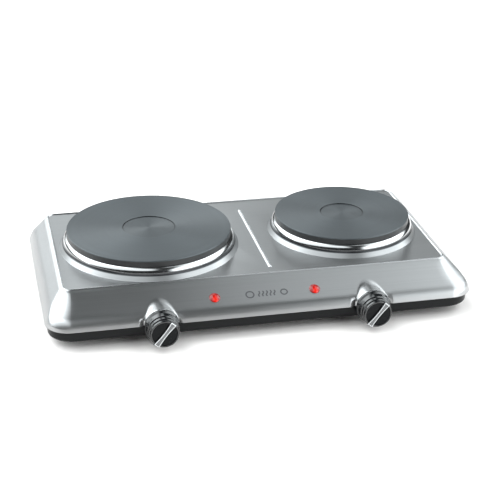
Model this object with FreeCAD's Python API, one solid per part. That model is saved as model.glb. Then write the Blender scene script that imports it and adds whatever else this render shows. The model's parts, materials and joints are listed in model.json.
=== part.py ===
import FreeCAD, Part
import math
import os

# Double table-top hot plate. Millimetres, +Z up, front towards -Y.
# The origin is the middle of the whole object's footprint, on the surface it stands on.

# ---- case ----
CASE_WIDTH = 463.6          # at the fold above the lip
CASE_DEPTH = 265.6          # from the front fold to the rear edge of the lip
KNOB_REACH = 26.6           # how far the pointer bars stand out in front of the lip
FOOT_HEIGHT = 9.0
DECK_Z = 50.0               # top face of the flat deck
FOLD_Z = 32.4               # where the slopes turn down into the lip
LIP_Z = 22.4                # lower edge of the lip
SIDE_SLOPE = 17.4           # plan width of the side slopes
LIP_FLARE = 2.6             # how far the lip leans outwards over its height
REAR_SLOPE = SIDE_SLOPE - LIP_FLARE
FRONT_SLOPE = 39.6          # plan width of the sloping fascia
FOLD_BLEND = 4.0            # size of the soft bend between lip and slope
DECK_CORNER = 11.0
LIP_CORNER = 24.0
SHEET = 0.8
BOSS_DEPTH = 34.0
TAB_CORNER = 4.0
CUT_MARGIN = 1.0            # how far a cutter reaches past what it cuts

REAR_Y = (CASE_DEPTH + KNOB_REACH) / 2
FRONT_Y = REAR_Y - CASE_DEPTH
HALF_WIDTH = CASE_WIDTH / 2
REAR_FOLD_Y = REAR_Y - LIP_FLARE
FASCIA_ANGLE = math.atan2(DECK_Z - FOLD_Z, FRONT_SLOPE)

BEAD_WIDTH = 4.4
BEAD_HEIGHT = 1.1
DIVIDER_X = 15.4
DIVIDER_FRONT_Y = -63.8
DIVIDER_REAR_Y = 98.4

# ---- base pan ----
PAN_INSET = 0.4             # inside the fold
PAN_TOP_Z = 28.6
PAN_CORNER = 26.0
PAN_EDGE = 4.0
VENT_LENGTH = 46.0
VENT_WIDTH = 4.0
VENT_PITCH = 12.0
VENT_COUNT = 7
VENT_ROW_Y = 28.5           # from the plates' centre line to the middle of a row of slots
TAB_NOTCH_DEPTH = 8.0

# ---- hot plates ----
PLATE_Y = 24.9
LARGE_X = -104.9
SMALL_X = 121.1
LARGE_R = 92.5
SMALL_R = 77.5
PLATE_TOP = 20.3            # above the deck
RIM_HEIGHT = 7.0
RING_FOOT = 8.8             # how far a ring's foot reaches beyond its plate
RIM_STEP = 2.5
PLATE_SKIRT_BOTTOM = 3.0
PLATE_ROOF = 11.5
HUB_BOTTOM = 5.0
RECESS_RATIO = 0.32
RECESS_DEPTH = 0.8
DECK_HOLE_STEP = 6.0
RIM_ROUND = 0.8
PLATE_WALL = 9.0            # width of the skirt under the plate's edge
STUD_R = 3.0
STUD_TOP = 12.0
STUD_BOTTOM = -13.0
COIL_R = 2.0
COIL_TURNS = 4
COIL_MARGIN = 5.0           # clear width beside the first and last turns
COIL_COVER = 1.2            # filling between a turn and the plate's roof
FILLING_STEP = 1.0
FIT_GAP = 0.1
UNDERCOVER_STEP = 3.5
TERMINAL_RATIO = 0.48       # of the plate's radius, behind its centre
BLADE_SPREAD = 9.0
BLADE_WIDTH = 6.3
BLADE_THICK = 0.8
BLADE_DROP = 18.0
BLADE_RISE = 3.8
BLOCK_HALF_LENGTH = 17.0
BLOCK_HALF_WIDTH = 7.0
BLOCK_HEIGHT = 10.0
BLOCK_NOTCH_R = 3.0
CLAMP_HALF_WIDTH = 8.0
CLAMP_HEIGHT = 8.0
CLAMP_WALL = 1.5
CLAMP_OVERLAP = 10.0        # how far the bar reaches under the deck beyond its hole
CLAMP_WASHER_R = 6.0
CLAMP_WASHER = 1.2
CLAMP_NUT_FLATS = 10.0
CLAMP_NUT = 5.0

# ---- knobs and thermostats ----
KNOB_X = 114.8
KNOB_Z = 22.8
BOSS_R = 17.0
BOSS_PROUD = 1.5
BOSS_FACE_Y = FRONT_Y - BOSS_PROUD
TAB_HALF_WIDTH = 14.0
TAB_DROP = 11.0
KNOB_BACK = -3.1            # from the boss face, towards the front is negative
SKIRT_R = 18.8
FACE_R = 13.2
BAR_ANGLE = 52.0            # of the pointer bar above +X, at rest
KNOB_FRONT = -22.6          # face of the knob, before its recess
FACE_RECESS = 0.9
BAR_FRONT = -24.6
BAR_DEPTH = 3.0
HUB_R = 6.0
HUB_END = -6.1
BAR_HALF_LENGTH = 15.4
BAR_WAIST = 2.5             # half widths of the pointer bar
BAR_END = 3.6
STRIP_STEP = 0.4            # how much narrower the metal strip is than the bar
SHAFT_R = 3.0
SHAFT_FLAT = 1.0
SHAFT_START = -18.4
SHAFT_COLLAR = 7.3
SHAFT_END = 9.0
FLAT_END = -8.0
COLLAR_R = 4.5
RUNNING = 0.05
BUSH_R = 4.0
BUSH_START = -4.5
BUSH_END = 7.0
BUSH_FLANGE_R = 6.0
BUSH_FLANGE = 1.5
BUSH_NUT_FLATS = 12.0
BUSH_NUT = 2.5
FRAME_HALF = 13.0
FRAME_WALL = 1.2
FRAME_ARM = 19.2
FRAME_TOP = 9.0
FRAME_LOW = 10.5
ARM_TOP = 6.0
ARM_LOW = 9.0
WEB_START = 13.6
NUT_GAP = 0.15
SPINDLE_R = 2.0
SPINDLE_END = 19.0
SPINDLE_NUT_HALF = 4.5
SPINDLE_NUT_START = 10.5
SPINDLE_NUT_END = 21.5
SPINDLE_BORE_END = 20.5
TIP_R = 1.8
TIP_END = 24.0
LEAF_GAP = 0.15             # between the nut's tip and the leaf, at rest
LEAF_THICK = 0.4
LEAF_HALF_HEIGHT = 3.0
LEAF_PIVOT = 10.0           # from the shaft's axis to the leaf's rolled eye
LEAF_END = 9.5
LEAF_EYE_R = 0.5
RIVET_X = 7.5
RIVET_R = 1.4
RIVET_HEIGHT = 0.5
CERAMIC_START = 20.0
CERAMIC_END = 33.0
CERAMIC_BACK = 30.0
CERAMIC_POST = 22.5
CERAMIC_POST_HALF = 10.7
CERAMIC_FLOOR = 7.0
CERAMIC_TOP = 5.0
FIXED_RIVET = 27.2
FIXED_RIVET_END = 34.0
SWITCH_BLADE_START = 31.0
SWITCH_BLADE_END = 42.0

# ---- lamps ----
LAMP_X = 54.8
LAMP_FRACTION = 0.612       # of the way down the fascia
LENS_R = 6.0
LENS_NECK_R = 4.6
LENS_NECK = 9.0
LENS_DOME = 2.9
LAMP_TUBE_R = 3.6
LAMP_END = 14.0
LEAD_END = 18.0
LEAD_R = 0.7
LEAD_SPREAD = 2.2
CLIP_R = 7.5
CLIP_THICK = 0.6

# ---- feet, brackets, rear ----
FOOT_X = 193.8
FOOT_FRONT_Y = -81.5
FOOT_REAR_Y = 108.1
FOOT_R = 9.0
FOOT_TAPER = 1.2
FOOT_RECESS_R = 4.6
FOOT_RECESS = 4.5
FOOT_SCREW = 11.0
CASE_SCREW = 6.0
HEAD_R = 3.8
HEAD_HEIGHT = 2.4
SCREW_SLOT = 1.0
SMALL_NUT_FLATS = 7.0
SMALL_NUT = 3.2
BRACKET_X = 201.0
BRACKET_FRONT_Y = -62.0
BRACKET_REAR_Y = 86.0
BRACKET_WIDTH = 12.0
BRACKET_WALL = 1.2
SCREW_R = 2.0
GLAND_X = 12.0
GLAND_Z = 18.9
CORD_BORE_R = 3.4
GLAND_WALL = 1.2
GLAND_FLANGE = 1.3
GLAND_INNER = 3.2
GLAND_OUTER = 1.5
BLOCK_Y = 94.0
BLOCK_MARGIN = 1.0
POLE_PITCH = 12.0
POLE_R = 5.0
POLE_HALF_LENGTH = 8.0
POLE_Z = 10.0               # bore centre above the pan's floor
POLE_BASE = 8.0
POLE_TOWER_R = 3.0
POLE_TOWER = 16.0
POLE_BORE_R = 1.7
POLE_SCREW_R = 1.9
POLE_SCREW_START = 11.8
POLE_SCREW_END = 15.5
EARTH_X = 46.0
EARTH_LENGTH = 12.0
EARTH_HEAD_R = 3.5
EARTH_HEAD = 1.2
EARTH_WASHER_R = 4.5
WIRE_R = 1.2

UP = FreeCAD.Vector(0, 0, 1)
BACK = FreeCAD.Vector(0, 1, 0)
ACROSS = FreeCAD.Vector(1, 0, 0)


def vec(x, y, z):
    return FreeCAD.Vector(x, y, z)


def box(x0, x1, y0, y1, z0, z1):
    return Part.makeBox(x1 - x0, y1 - y0, z1 - z0, vec(x0, y0, z0))


def rod(radius, start, end):
    """Solid round bar from start to end."""
    axis = end.sub(start)
    return Part.makeCylinder(radius, axis.Length, start, axis)


def tube(outer, inner, start, end):
    return rod(outer, start, end).cut(rod(inner, start, end))


def hexagon(flats, start, end):
    """Hexagonal prism from start to end, measured across its flats."""
    axis = end.sub(start)
    corner = flats / math.sqrt(3)
    turn = FreeCAD.Rotation(UP, axis)
    points = []
    for step in range(7):
        angle = math.radians(60 * step)
        local = vec(corner * math.cos(angle), corner * math.sin(angle), 0)
        points.append(start.add(turn.multVec(local)))
    return Part.Face(Part.makePolygon(points)).extrude(axis)


def outline(steps):
    """Closed wire: a step is a point, or (middle, end) for an arc from the last point."""
    edges = []
    last = steps[0]
    for step in steps[1:] + [steps[0]]:
        if isinstance(step, tuple):
            edges.append(Part.Arc(last, step[0], step[1]).toShape())
            last = step[1]
        else:
            edges.append(Part.LineSegment(last, step).toShape())
            last = step
    return Part.Wire(edges)


def turned(steps, x, y, angle=360.0):
    """Solid of revolution about a vertical axis; the steps are (radius, 0, height)."""
    solid = Part.Face(outline(steps)).revolve(vec(0, 0, 0), UP, angle)
    solid.translate(vec(x, y, 0))
    return solid


def rounded_rectangle(x0, x1, y0, y1, radius, z):
    """Closed wire round a rectangle with round corners, always in the same order."""
    corners = [(x1 - radius, y0 + radius, -90), (x1 - radius, y1 - radius, 0),
               (x0 + radius, y1 - radius, 90), (x0 + radius, y0 + radius, 180)]
    arcs = []
    for cx, cy, first in corners:
        points = []
        for angle in (first, first + 45, first + 90):
            turn = math.radians(angle)
            points.append(vec(cx + radius * math.cos(turn), cy + radius * math.sin(turn), z))
        arcs.append(points)
    edges = []
    for index, points in enumerate(arcs):
        edges.append(Part.Arc(*points).toShape())
        following = arcs[(index + 1) % len(arcs)][0]
        edges.append(Part.LineSegment(points[2], following).toShape())
    return Part.Wire(edges)


def slope_inset(z, width, offset):
    """How far inside the fold the case is at height z; offset moves it inwards by a thickness."""
    lip_run = LIP_FLARE / (FOLD_Z - LIP_Z)
    slope_run = width / (DECK_Z - FOLD_Z)
    lip = lip_run * (z - FOLD_Z) + offset * math.hypot(1, lip_run)
    slope = slope_run * (z - FOLD_Z) + offset * math.hypot(1, slope_run)
    near = max(0.0, FOLD_BLEND - abs(lip - slope)) / FOLD_BLEND
    return max(lip, slope) + near ** 2 * FOLD_BLEND / 4


def case_section(z, offset):
    side = slope_inset(z, SIDE_SLOPE, offset)
    front = slope_inset(z, FRONT_SLOPE, offset)
    rear = slope_inset(z, REAR_SLOPE, offset)
    above = max(0.0, (z - FOLD_Z) / (DECK_Z - FOLD_Z))
    below = max(0.0, (FOLD_Z - z) / (FOLD_Z - LIP_Z))
    corner = LIP_CORNER + above * (DECK_CORNER - LIP_CORNER) + below * LIP_FLARE - offset
    return rounded_rectangle(-HALF_WIDTH + side, HALF_WIDTH - side,
                             FRONT_Y + front, REAR_FOLD_Y - rear, corner, z)


def case_form(offset, bottom):
    """Solid form of the pressed cover, its outside or, with an offset, its inside."""
    bend = [FOLD_Z + step for step in (-5.5, -3.0, -1.6, -0.8, 0.0, 0.8, 1.6, 3.0, 5.5)]
    levels = [bottom] + bend + [DECK_Z - offset]
    return Part.makeLoft([case_section(z, offset) for z in levels], True, True)


def bead_profile(x, z):
    """Low round-topped section across X, with a little depth below the deck to join it."""
    half = BEAD_WIDTH / 2
    root = SHEET / 2
    return outline([vec(x - half, 0, z - root), vec(x - half, 0, z),
                    (vec(x, 0, z + BEAD_HEIGHT), vec(x + half, 0, z)), vec(x + half, 0, z - root)])


def straight_bead(start, end):
    run = end.sub(start)
    solid = Part.Face(bead_profile(0, 0)).extrude(vec(0, run.Length, 0))
    turn = FreeCAD.Rotation(BACK, run)
    solid.Placement = FreeCAD.Placement(start, turn)
    return solid


def bead_corner(cx, cy, radius, first):
    """A quarter turn of bead about a vertical axis."""
    face = Part.Face(bead_profile(radius, 0))
    solid = face.revolve(vec(0, 0, 0), UP, 90)
    solid.Placement = FreeCAD.Placement(vec(cx, cy, DECK_Z), FreeCAD.Rotation(UP, first))
    return solid


def deck_bead():
    """The raised bead all round the deck, at the top of the slopes."""
    half = BEAD_WIDTH / 2
    x = HALF_WIDTH - SIDE_SLOPE - half
    front = FRONT_Y + FRONT_SLOPE + half
    rear = REAR_Y - SIDE_SLOPE - half
    radius = DECK_CORNER - half
    pieces = []
    for start, end in ((vec(-x + radius, front, DECK_Z), vec(x - radius, front, DECK_Z)),
                       (vec(x, front + radius, DECK_Z), vec(x, rear - radius, DECK_Z)),
                       (vec(x - radius, rear, DECK_Z), vec(-x + radius, rear, DECK_Z)),
                       (vec(-x, rear - radius, DECK_Z), vec(-x, front + radius, DECK_Z))):
        pieces.append(straight_bead(start, end))
    for cx, cy, first in ((x - radius, front + radius, -90), (x - radius, rear - radius, 0),
                          (-x + radius, rear - radius, 90), (-x + radius, front + radius, 180)):
        pieces.append(bead_corner(cx, cy, radius, first))
    return pieces


def divider_rib():
    """The straight rib between the plates, with round ends."""
    half = BEAD_WIDTH / 2
    start = vec(DIVIDER_X, DIVIDER_FRONT_Y + half, DECK_Z)
    end = vec(DIVIDER_X, DIVIDER_REAR_Y - half, DECK_Z)
    section = outline([vec(0, 0, -SHEET / 2), vec(0, 0, BEAD_HEIGHT),
                       (vec(half * 0.55, 0, BEAD_HEIGHT * 0.72), vec(half, 0, 0)),
                       vec(half, 0, -SHEET / 2)])
    pieces = [straight_bead(start, end)]
    for centre, first in ((start, 180), (end, 0)):
        cap = Part.Face(section).revolve(vec(0, 0, 0), UP, 180)
        cap.Placement = FreeCAD.Placement(centre, FreeCAD.Rotation(UP, first))
        pieces.append(cap)
    return pieces


def boss_form(x, radius, face_y, bottom):
    """Horizontal half-round form that runs back from the knob's face into the fascia."""
    end_y = face_y + BOSS_DEPTH
    round_part = rod(radius, vec(x, face_y, KNOB_Z), vec(x, end_y, KNOB_Z))
    return round_part.common(box(x - radius, x + radius, face_y, end_y, bottom, KNOB_Z + radius))


def boss_tab(x):
    """Flat tongue below the boss face that carries the lower half of the thermostat."""
    low = KNOB_Z - TAB_DROP
    corner = TAB_CORNER
    half = TAB_HALF_WIDTH
    y = BOSS_FACE_Y
    shape = outline([vec(x - half, y, LIP_Z + SHEET), vec(x - half, y, low + corner),
                     vec(x - half + corner, y, low), vec(x + half - corner, y, low),
                     vec(x + half, y, low + corner), vec(x + half, y, LIP_Z + SHEET)])
    return Part.Face(shape).extrude(vec(0, SHEET, 0))


def lamp_place(x):
    """Where a lamp sits: on the fascia's outer face, square to it."""
    down = FRONT_SLOPE * LAMP_FRACTION
    y = FRONT_Y + FRONT_SLOPE - down
    z = DECK_Z - down * math.tan(FASCIA_ANGLE)
    return FreeCAD.Placement(vec(x, y, z), FreeCAD.Rotation(ACROSS, math.degrees(FASCIA_ANGLE)))


def placed(solid, placement):
    copy = solid.copy()
    copy.Placement = placement.multiply(copy.Placement)
    return copy


def at_plate(x, rise):
    """Point on a plate's axis, at a height above the deck."""
    return vec(x, PLATE_Y, DECK_Z + rise)


def through_floor(radius, x, y):
    """Upright round cutter through the pan's floor."""
    return rod(radius, vec(x, y, FOOT_HEIGHT - CUT_MARGIN), vec(x, y, FOOT_HEIGHT + SHEET + CUT_MARGIN))


def top_cover():
    outside = case_form(0.0, LIP_Z)
    inside = case_form(SHEET, LIP_Z - CUT_MARGIN)
    for x in (-KNOB_X, KNOB_X):
        outside = outside.fuse(boss_form(x, BOSS_R, BOSS_FACE_Y, LIP_Z))
        inside = inside.fuse(boss_form(x, BOSS_R - SHEET, BOSS_FACE_Y + SHEET, LIP_Z - CUT_MARGIN))
    cover = outside.cut(inside)
    cover = cover.fuse(deck_bead() + divider_rib())
    for x in (-KNOB_X, KNOB_X):
        cover = cover.cut(box(x - BOSS_R, x + BOSS_R, BOSS_FACE_Y - LIP_FLARE, BOSS_FACE_Y,
                              LIP_Z - CUT_MARGIN, KNOB_Z + BOSS_R))
        cover = cover.fuse(boss_tab(x))
        cover = cover.cut(rod(BUSH_R + FIT_GAP, along(x, -CUT_MARGIN), along(x, SHEET + CUT_MARGIN)))
    for x, radius in ((LARGE_X, LARGE_R), (SMALL_X, SMALL_R)):
        hole = radius - DECK_HOLE_STEP
        top = BEAD_HEIGHT + CUT_MARGIN
        cover = cover.cut(rod(hole, at_plate(x, -SHEET - CUT_MARGIN), at_plate(x, top)))
        cover = cover.cut(rod(radius + RING_FOOT + FIT_GAP, at_plate(x, 0), at_plate(x, top)))
    for x in (-LAMP_X, LAMP_X):
        hole = rod(LENS_NECK_R + FIT_GAP, vec(0, 0, -SHEET - CUT_MARGIN), vec(0, 0, CUT_MARGIN))
        cover = cover.cut(placed(hole, lamp_place(x)))
    return cover.removeSplitter()


def pan_section(z, offset):
    """Outline of the pan at height z, with its lower edge rolled under."""
    rise = z - (FOOT_HEIGHT + offset)
    edge = PAN_EDGE - offset
    inset = PAN_INSET + offset
    if rise < edge:
        inset += edge - math.sqrt(edge ** 2 - (edge - rise) ** 2)
    return rounded_rectangle(-HALF_WIDTH + inset, HALF_WIDTH - inset,
                             FRONT_Y + inset, REAR_FOLD_Y - inset, PAN_CORNER - inset / 2, z)


def pan_form(offset, top):
    bottom = FOOT_HEIGHT + offset
    edge = PAN_EDGE - offset
    levels = [bottom + edge * share for share in (0.0, 0.05, 0.18, 0.4, 0.7, 1.0)]
    return Part.makeLoft([pan_section(z, offset) for z in levels + [top]], True, True)


def slot(x, y, length, width):
    """Upright slot-shaped cutter through the pan's floor, long in Y."""
    half = (length - width) / 2
    cutter = box(x - width / 2, x + width / 2, y - half, y + half,
                 FOOT_HEIGHT - CUT_MARGIN, FOOT_HEIGHT + SHEET + CUT_MARGIN)
    for end in (y - half, y + half):
        cutter = cutter.fuse(through_floor(width / 2, x, end))
    return cutter


def base_pan():
    pan = pan_form(0.0, PAN_TOP_Z).cut(pan_form(SHEET, PAN_TOP_Z + CUT_MARGIN))
    cutters = []
    for centre in (LARGE_X, SMALL_X):
        for row in (-1, 1):
            for index in range(VENT_COUNT):
                x = centre + (index - (VENT_COUNT - 1) / 2) * VENT_PITCH
                cutters.append(slot(x, PLATE_Y + row * VENT_ROW_Y, VENT_LENGTH, VENT_WIDTH))
    for x in (-KNOB_X, KNOB_X):
        half = TAB_HALF_WIDTH + CUT_MARGIN
        cutters.append(box(x - half, x + half, FRONT_Y, FRONT_Y + TAB_NOTCH_DEPTH,
                           KNOB_Z - TAB_DROP - CUT_MARGIN, PAN_TOP_Z + CUT_MARGIN))
    for x, y in bracket_places() + foot_places():
        cutters.append(through_floor(SCREW_R + FIT_GAP, x, y))
    cutters.append(through_floor(SCREW_R + RUNNING, EARTH_X, BLOCK_Y))
    inner = REAR_FOLD_Y - PAN_INSET - SHEET - CUT_MARGIN
    cutters.append(rod(CORD_BORE_R + GLAND_WALL + FIT_GAP,
                       vec(GLAND_X, inner, GLAND_Z), vec(GLAND_X, REAR_Y, GLAND_Z)))
    return pan.cut(Part.makeCompound(cutters)).removeSplitter()


def bracket_places():
    return [(x, y) for x in (-BRACKET_X, BRACKET_X) for y in (BRACKET_FRONT_Y, BRACKET_REAR_Y)]


def foot_places():
    return [(x, y) for x in (-FOOT_X, FOOT_X) for y in (FOOT_FRONT_Y, FOOT_REAR_Y)]


def hot_plate(x, radius):
    top = DECK_Z + PLATE_TOP
    shoulder = top - RIM_HEIGHT
    skirt = DECK_Z + PLATE_SKIRT_BOTTOM
    recess = radius * RECESS_RATIO
    soft = RIM_ROUND
    bend = soft * (1 - math.sqrt(1 / 2))
    inside = radius - PLATE_WALL
    steps = [vec(0, 0, top - RECESS_DEPTH), vec(recess, 0, top - RECESS_DEPTH), vec(recess, 0, top),
             vec(radius - soft, 0, top), (vec(radius - bend, 0, top - bend), vec(radius, 0, top - soft)),
             vec(radius, 0, shoulder), vec(radius - RIM_STEP, 0, shoulder),
             vec(radius - RIM_STEP, 0, skirt), vec(inside, 0, skirt),
             vec(inside, 0, DECK_Z + PLATE_ROOF), vec(recess, 0, DECK_Z + PLATE_ROOF),
             vec(recess, 0, DECK_Z + HUB_BOTTOM), vec(STUD_R, 0, DECK_Z + HUB_BOTTOM),
             vec(STUD_R, 0, DECK_Z + STUD_TOP), vec(0, 0, DECK_Z + STUD_TOP)]
    return turned(steps, x, PLATE_Y)


def spill_ring(x, radius):
    """Pressed ring under the plate's rim: rounded shoulder, crease, and a flared foot on the deck."""
    top = DECK_Z + PLATE_TOP - RIM_HEIGHT
    wall = 0.7

    def at(out, down):
        return vec(radius + out, 0, top - down)

    foot = PLATE_TOP - RIM_HEIGHT
    steps = [at(-2.4, 0), at(-1.1, 0), (at(2.5, 2.3), at(4.4, 7.3)), at(RING_FOOT, foot),
             at(RING_FOOT - 0.8, foot), at(3.7, 7.5), (at(1.8, 2.9), at(-1.3, wall)), at(-1.7, wall),
             at(-1.7, 6.0), at(-2.4, 6.0)]
    return turned(steps, x, PLATE_Y)


def coil_radii(radius):
    inner = radius * RECESS_RATIO + COIL_MARGIN
    outer = radius - PLATE_WALL - COIL_MARGIN
    return [inner + (outer - inner) * step / (COIL_TURNS - 1) for step in range(COIL_TURNS)]


def heating_coil(x, radius):
    """The wound heating element, as the round envelope of each turn."""
    height = PLATE_ROOF - COIL_R - COIL_COVER
    return Part.makeCompound([Part.makeTorus(turn, COIL_R, at_plate(x, height))
                              for turn in coil_radii(radius)])


def coil_filling(x, radius):
    """Ceramic filling that beds the coil under the plate's roof."""
    inner = radius * RECESS_RATIO + FIT_GAP
    outer = radius - PLATE_WALL - FIT_GAP
    body = tube(outer, inner, at_plate(x, PLATE_SKIRT_BOTTOM + FILLING_STEP), at_plate(x, PLATE_ROOF))
    height = PLATE_ROOF - COIL_R - COIL_COVER
    for turn in coil_radii(radius):
        body = body.cut(Part.makeTorus(turn, COIL_R + FIT_GAP, at_plate(x, height)))
    return body


def undercover(x, radius):
    """Sheet disc that closes the plate from below, with a slot for each blade."""
    low = PLATE_SKIRT_BOTTOM - SHEET
    disc = tube(radius - UNDERCOVER_STEP, STUD_R + FIT_GAP, at_plate(x, low), at_plate(x, PLATE_SKIRT_BOTTOM))
    half = BLADE_SPREAD / 2
    y = terminal_y(radius)
    for side in (-1, 1):
        blade_x = x + side * BLADE_SPREAD
        disc = disc.cut(box(blade_x - half, blade_x + half, y - 2, y + 2,
                            DECK_Z + low - CUT_MARGIN, DECK_Z + PLATE_SKIRT_BOTTOM + CUT_MARGIN))
    return disc


def terminal_y(radius):
    return PLATE_Y + radius * TERMINAL_RATIO


def plate_blades(x, radius):
    """Two flat blades that carry current up through the ceramic block."""
    y = terminal_y(radius)
    half = BLADE_WIDTH / 2
    blades = []
    for side in (-1, 1):
        middle = x + side * BLADE_SPREAD
        blades.append(box(middle - half, middle + half, y - BLADE_THICK / 2, y + BLADE_THICK / 2,
                          DECK_Z - BLADE_DROP, DECK_Z + BLADE_RISE))
    return blades


def terminal_block(x, radius):
    y = terminal_y(radius)
    top = DECK_Z + PLATE_SKIRT_BOTTOM - SHEET
    low = top - BLOCK_HEIGHT
    block = box(x - BLOCK_HALF_LENGTH, x + BLOCK_HALF_LENGTH, y - BLOCK_HALF_WIDTH, y + BLOCK_HALF_WIDTH,
                low, top)
    for edge in (x - BLOCK_HALF_LENGTH, x + BLOCK_HALF_LENGTH):
        block = block.cut(rod(BLOCK_NOTCH_R, vec(edge, y, low - CUT_MARGIN), vec(edge, y, top + CUT_MARGIN)))
    return block.cut(Part.makeCompound(plate_blades(x, radius)))


def clamp_bar(x, radius):
    """Channel bar across the deck hole, pulled up against the sheet by the stud."""
    half = radius - DECK_HOLE_STEP + CLAMP_OVERLAP
    top = DECK_Z - SHEET
    low = top - CLAMP_HEIGHT
    front = PLATE_Y - CLAMP_HALF_WIDTH
    rear = PLATE_Y + CLAMP_HALF_WIDTH
    bar = box(x - half, x + half, front, rear, low, top)
    bar = bar.cut(box(x - half - CUT_MARGIN, x + half + CUT_MARGIN, front + CLAMP_WALL, rear - CLAMP_WALL,
                      low - CUT_MARGIN, top - CLAMP_WALL))
    return bar.cut(rod(STUD_R + FIT_GAP, vec(x, PLATE_Y, low), vec(x, PLATE_Y, top + CUT_MARGIN)))


def clamp_stud(x):
    return rod(STUD_R, at_plate(x, STUD_BOTTOM), at_plate(x, STUD_TOP))


def clamp_nuts():
    """Washer and nut under each clamp bar."""
    solids = []
    top = -SHEET - CLAMP_WALL
    seat = top - CLAMP_WASHER
    for x in (LARGE_X, SMALL_X):
        solids.append(tube(CLAMP_WASHER_R, STUD_R + FIT_GAP, at_plate(x, seat), at_plate(x, top)))
        nut = hexagon(CLAMP_NUT_FLATS, at_plate(x, seat - CLAMP_NUT), at_plate(x, seat))
        solids.append(nut.cut(rod(STUD_R, at_plate(x, seat - CLAMP_NUT - CUT_MARGIN), at_plate(x, top))))
    return Part.makeCompound(solids)


def along(x, depth):
    """Point on a knob's axis, at a depth behind the boss face."""
    return vec(x, BOSS_FACE_Y + depth, KNOB_Z)


def knob_turned(steps, x):
    """Solid of revolution about a knob's axis; the steps are (radius, 0, depth)."""
    solid = Part.Face(outline(steps)).revolve(vec(0, 0, 0), UP, 360)
    solid.Placement = FreeCAD.Placement(along(x, 0), FreeCAD.Rotation(UP, BACK))
    return solid


def waisted_bar(half_length, waist, end, start, depth):
    """Pointer bar lying along X, with slightly waisted sides, extruded along Y."""
    corners = [vec(-half_length, start, -end), (vec(0, start, -waist), vec(half_length, start, -end)),
               vec(half_length, start, end), (vec(0, start, waist), vec(-half_length, start, end))]
    return Part.Face(outline(corners)).extrude(vec(0, depth, 0))


def at_knob(solid, x):
    """Turn a piece drawn along X to the bar's angle and bring it to the knob's axis."""
    copy = solid.copy()
    turn = FreeCAD.Rotation(BACK, -BAR_ANGLE)
    copy.Placement = FreeCAD.Placement(along(x, 0), turn)
    return copy


def shaft_flat(x, radius, start, end):
    """What is missing from a round shaft of this radius where its flat is."""
    cut = box(x - radius, x + radius, BOSS_FACE_Y + start, BOSS_FACE_Y + end,
              KNOB_Z + radius - SHAFT_FLAT, KNOB_Z + radius)
    return cut.common(rod(radius, along(x, start), along(x, end)))


def knob(x):
    """Stepped round body with a recessed face, a pointer bar across it and a bore for the shaft."""
    front = KNOB_FRONT
    lip = front - FACE_RECESS
    bore = SHAFT_R + RUNNING
    bore_end = SHAFT_START - FIT_GAP
    skirt_inside = SKIRT_R - 1.6
    steps = [vec(0, 0, front), vec(FACE_R, 0, front), vec(FACE_R, 0, lip),
             vec(FACE_R + 1.2, 0, lip), (vec(15.0, 0, front - 0.4), vec(15.2, 0, front + 0.6)),
             vec(15.3, 0, front + 2.2), vec(15.8, 0, front + 2.8), vec(16.1, 0, front + 6.0),
             vec(16.7, 0, front + 6.6), vec(17.0, 0, front + 10.5), vec(17.2, 0, front + 14.5),
             (vec(17.9, 0, front + 16.2), vec(SKIRT_R, 0, front + 17.0)),
             vec(SKIRT_R, 0, KNOB_BACK), vec(skirt_inside, 0, KNOB_BACK),
             vec(15.0, 0, front + 14.5), vec(13.4, 0, front + 3.0), vec(HUB_R, 0, front + 3.0),
             vec(HUB_R, 0, HUB_END), vec(bore, 0, HUB_END), vec(bore, 0, bore_end), vec(0, 0, bore_end)]
    body = knob_turned(steps, x)
    bar = at_knob(waisted_bar(BAR_HALF_LENGTH, BAR_WAIST, BAR_END, BAR_FRONT, BAR_DEPTH), x)
    return body.fuse([bar, shaft_flat(x, bore, bore_end, FLAT_END)])


def pointer_strip(x):
    front = -(KNOB_REACH - BOSS_PROUD)
    return at_knob(waisted_bar(BAR_HALF_LENGTH - STRIP_STEP, BAR_WAIST - STRIP_STEP, BAR_END - STRIP_STEP,
                               front, BAR_FRONT - front), x)


def thermostat_shaft(x):
    """Shaft with a flat for the knob, a collar behind the bush and a screw end."""
    shaft = rod(SHAFT_R, along(x, SHAFT_START), along(x, SHAFT_END))
    shaft = shaft.cut(shaft_flat(x, SHAFT_R, SHAFT_START, FLAT_END))
    shaft = shaft.fuse(rod(COLLAR_R, along(x, SHAFT_COLLAR), along(x, SHAFT_END)))
    return shaft.fuse(rod(SPINDLE_R, along(x, SHAFT_END), along(x, SPINDLE_END)))


def thermostat_frame(x):
    """Folded steel frame: front plate, two arms and a guide web for the spindle nut."""
    y = BOSS_FACE_Y + SHEET
    half = FRAME_HALF
    frame = box(x - half, x + half, y, y + FRAME_WALL, KNOB_Z - FRAME_LOW, KNOB_Z + FRAME_TOP)
    for left in (x - half, x + half - FRAME_WALL):
        frame = frame.fuse(box(left, left + FRAME_WALL, y, y + FRAME_ARM,
                               KNOB_Z - ARM_LOW, KNOB_Z + ARM_TOP))
    web_y = y + WEB_START
    web = box(x - half, x + half, web_y, web_y + FRAME_WALL, KNOB_Z - ARM_LOW, KNOB_Z + ARM_TOP)
    window = SPINDLE_NUT_HALF + NUT_GAP
    web = web.cut(box(x - window, x + window, web_y, web_y + FRAME_WALL, KNOB_Z - window, KNOB_Z + window))
    frame = frame.fuse(web)
    return frame.cut(rod(BUSH_R, along(x, 0), along(x, SHEET + FRAME_WALL + CUT_MARGIN)))


def thermostat_bush(x):
    """Threaded bush through the boss face, with a flange behind the frame."""
    seat = SHEET + FRAME_WALL
    bush = rod(BUSH_R, along(x, BUSH_START), along(x, BUSH_END))
    bush = bush.fuse(rod(BUSH_FLANGE_R, along(x, seat), along(x, seat + BUSH_FLANGE)))
    return bush.cut(rod(SHAFT_R + RUNNING, along(x, BUSH_START), along(x, BUSH_END)))


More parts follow.
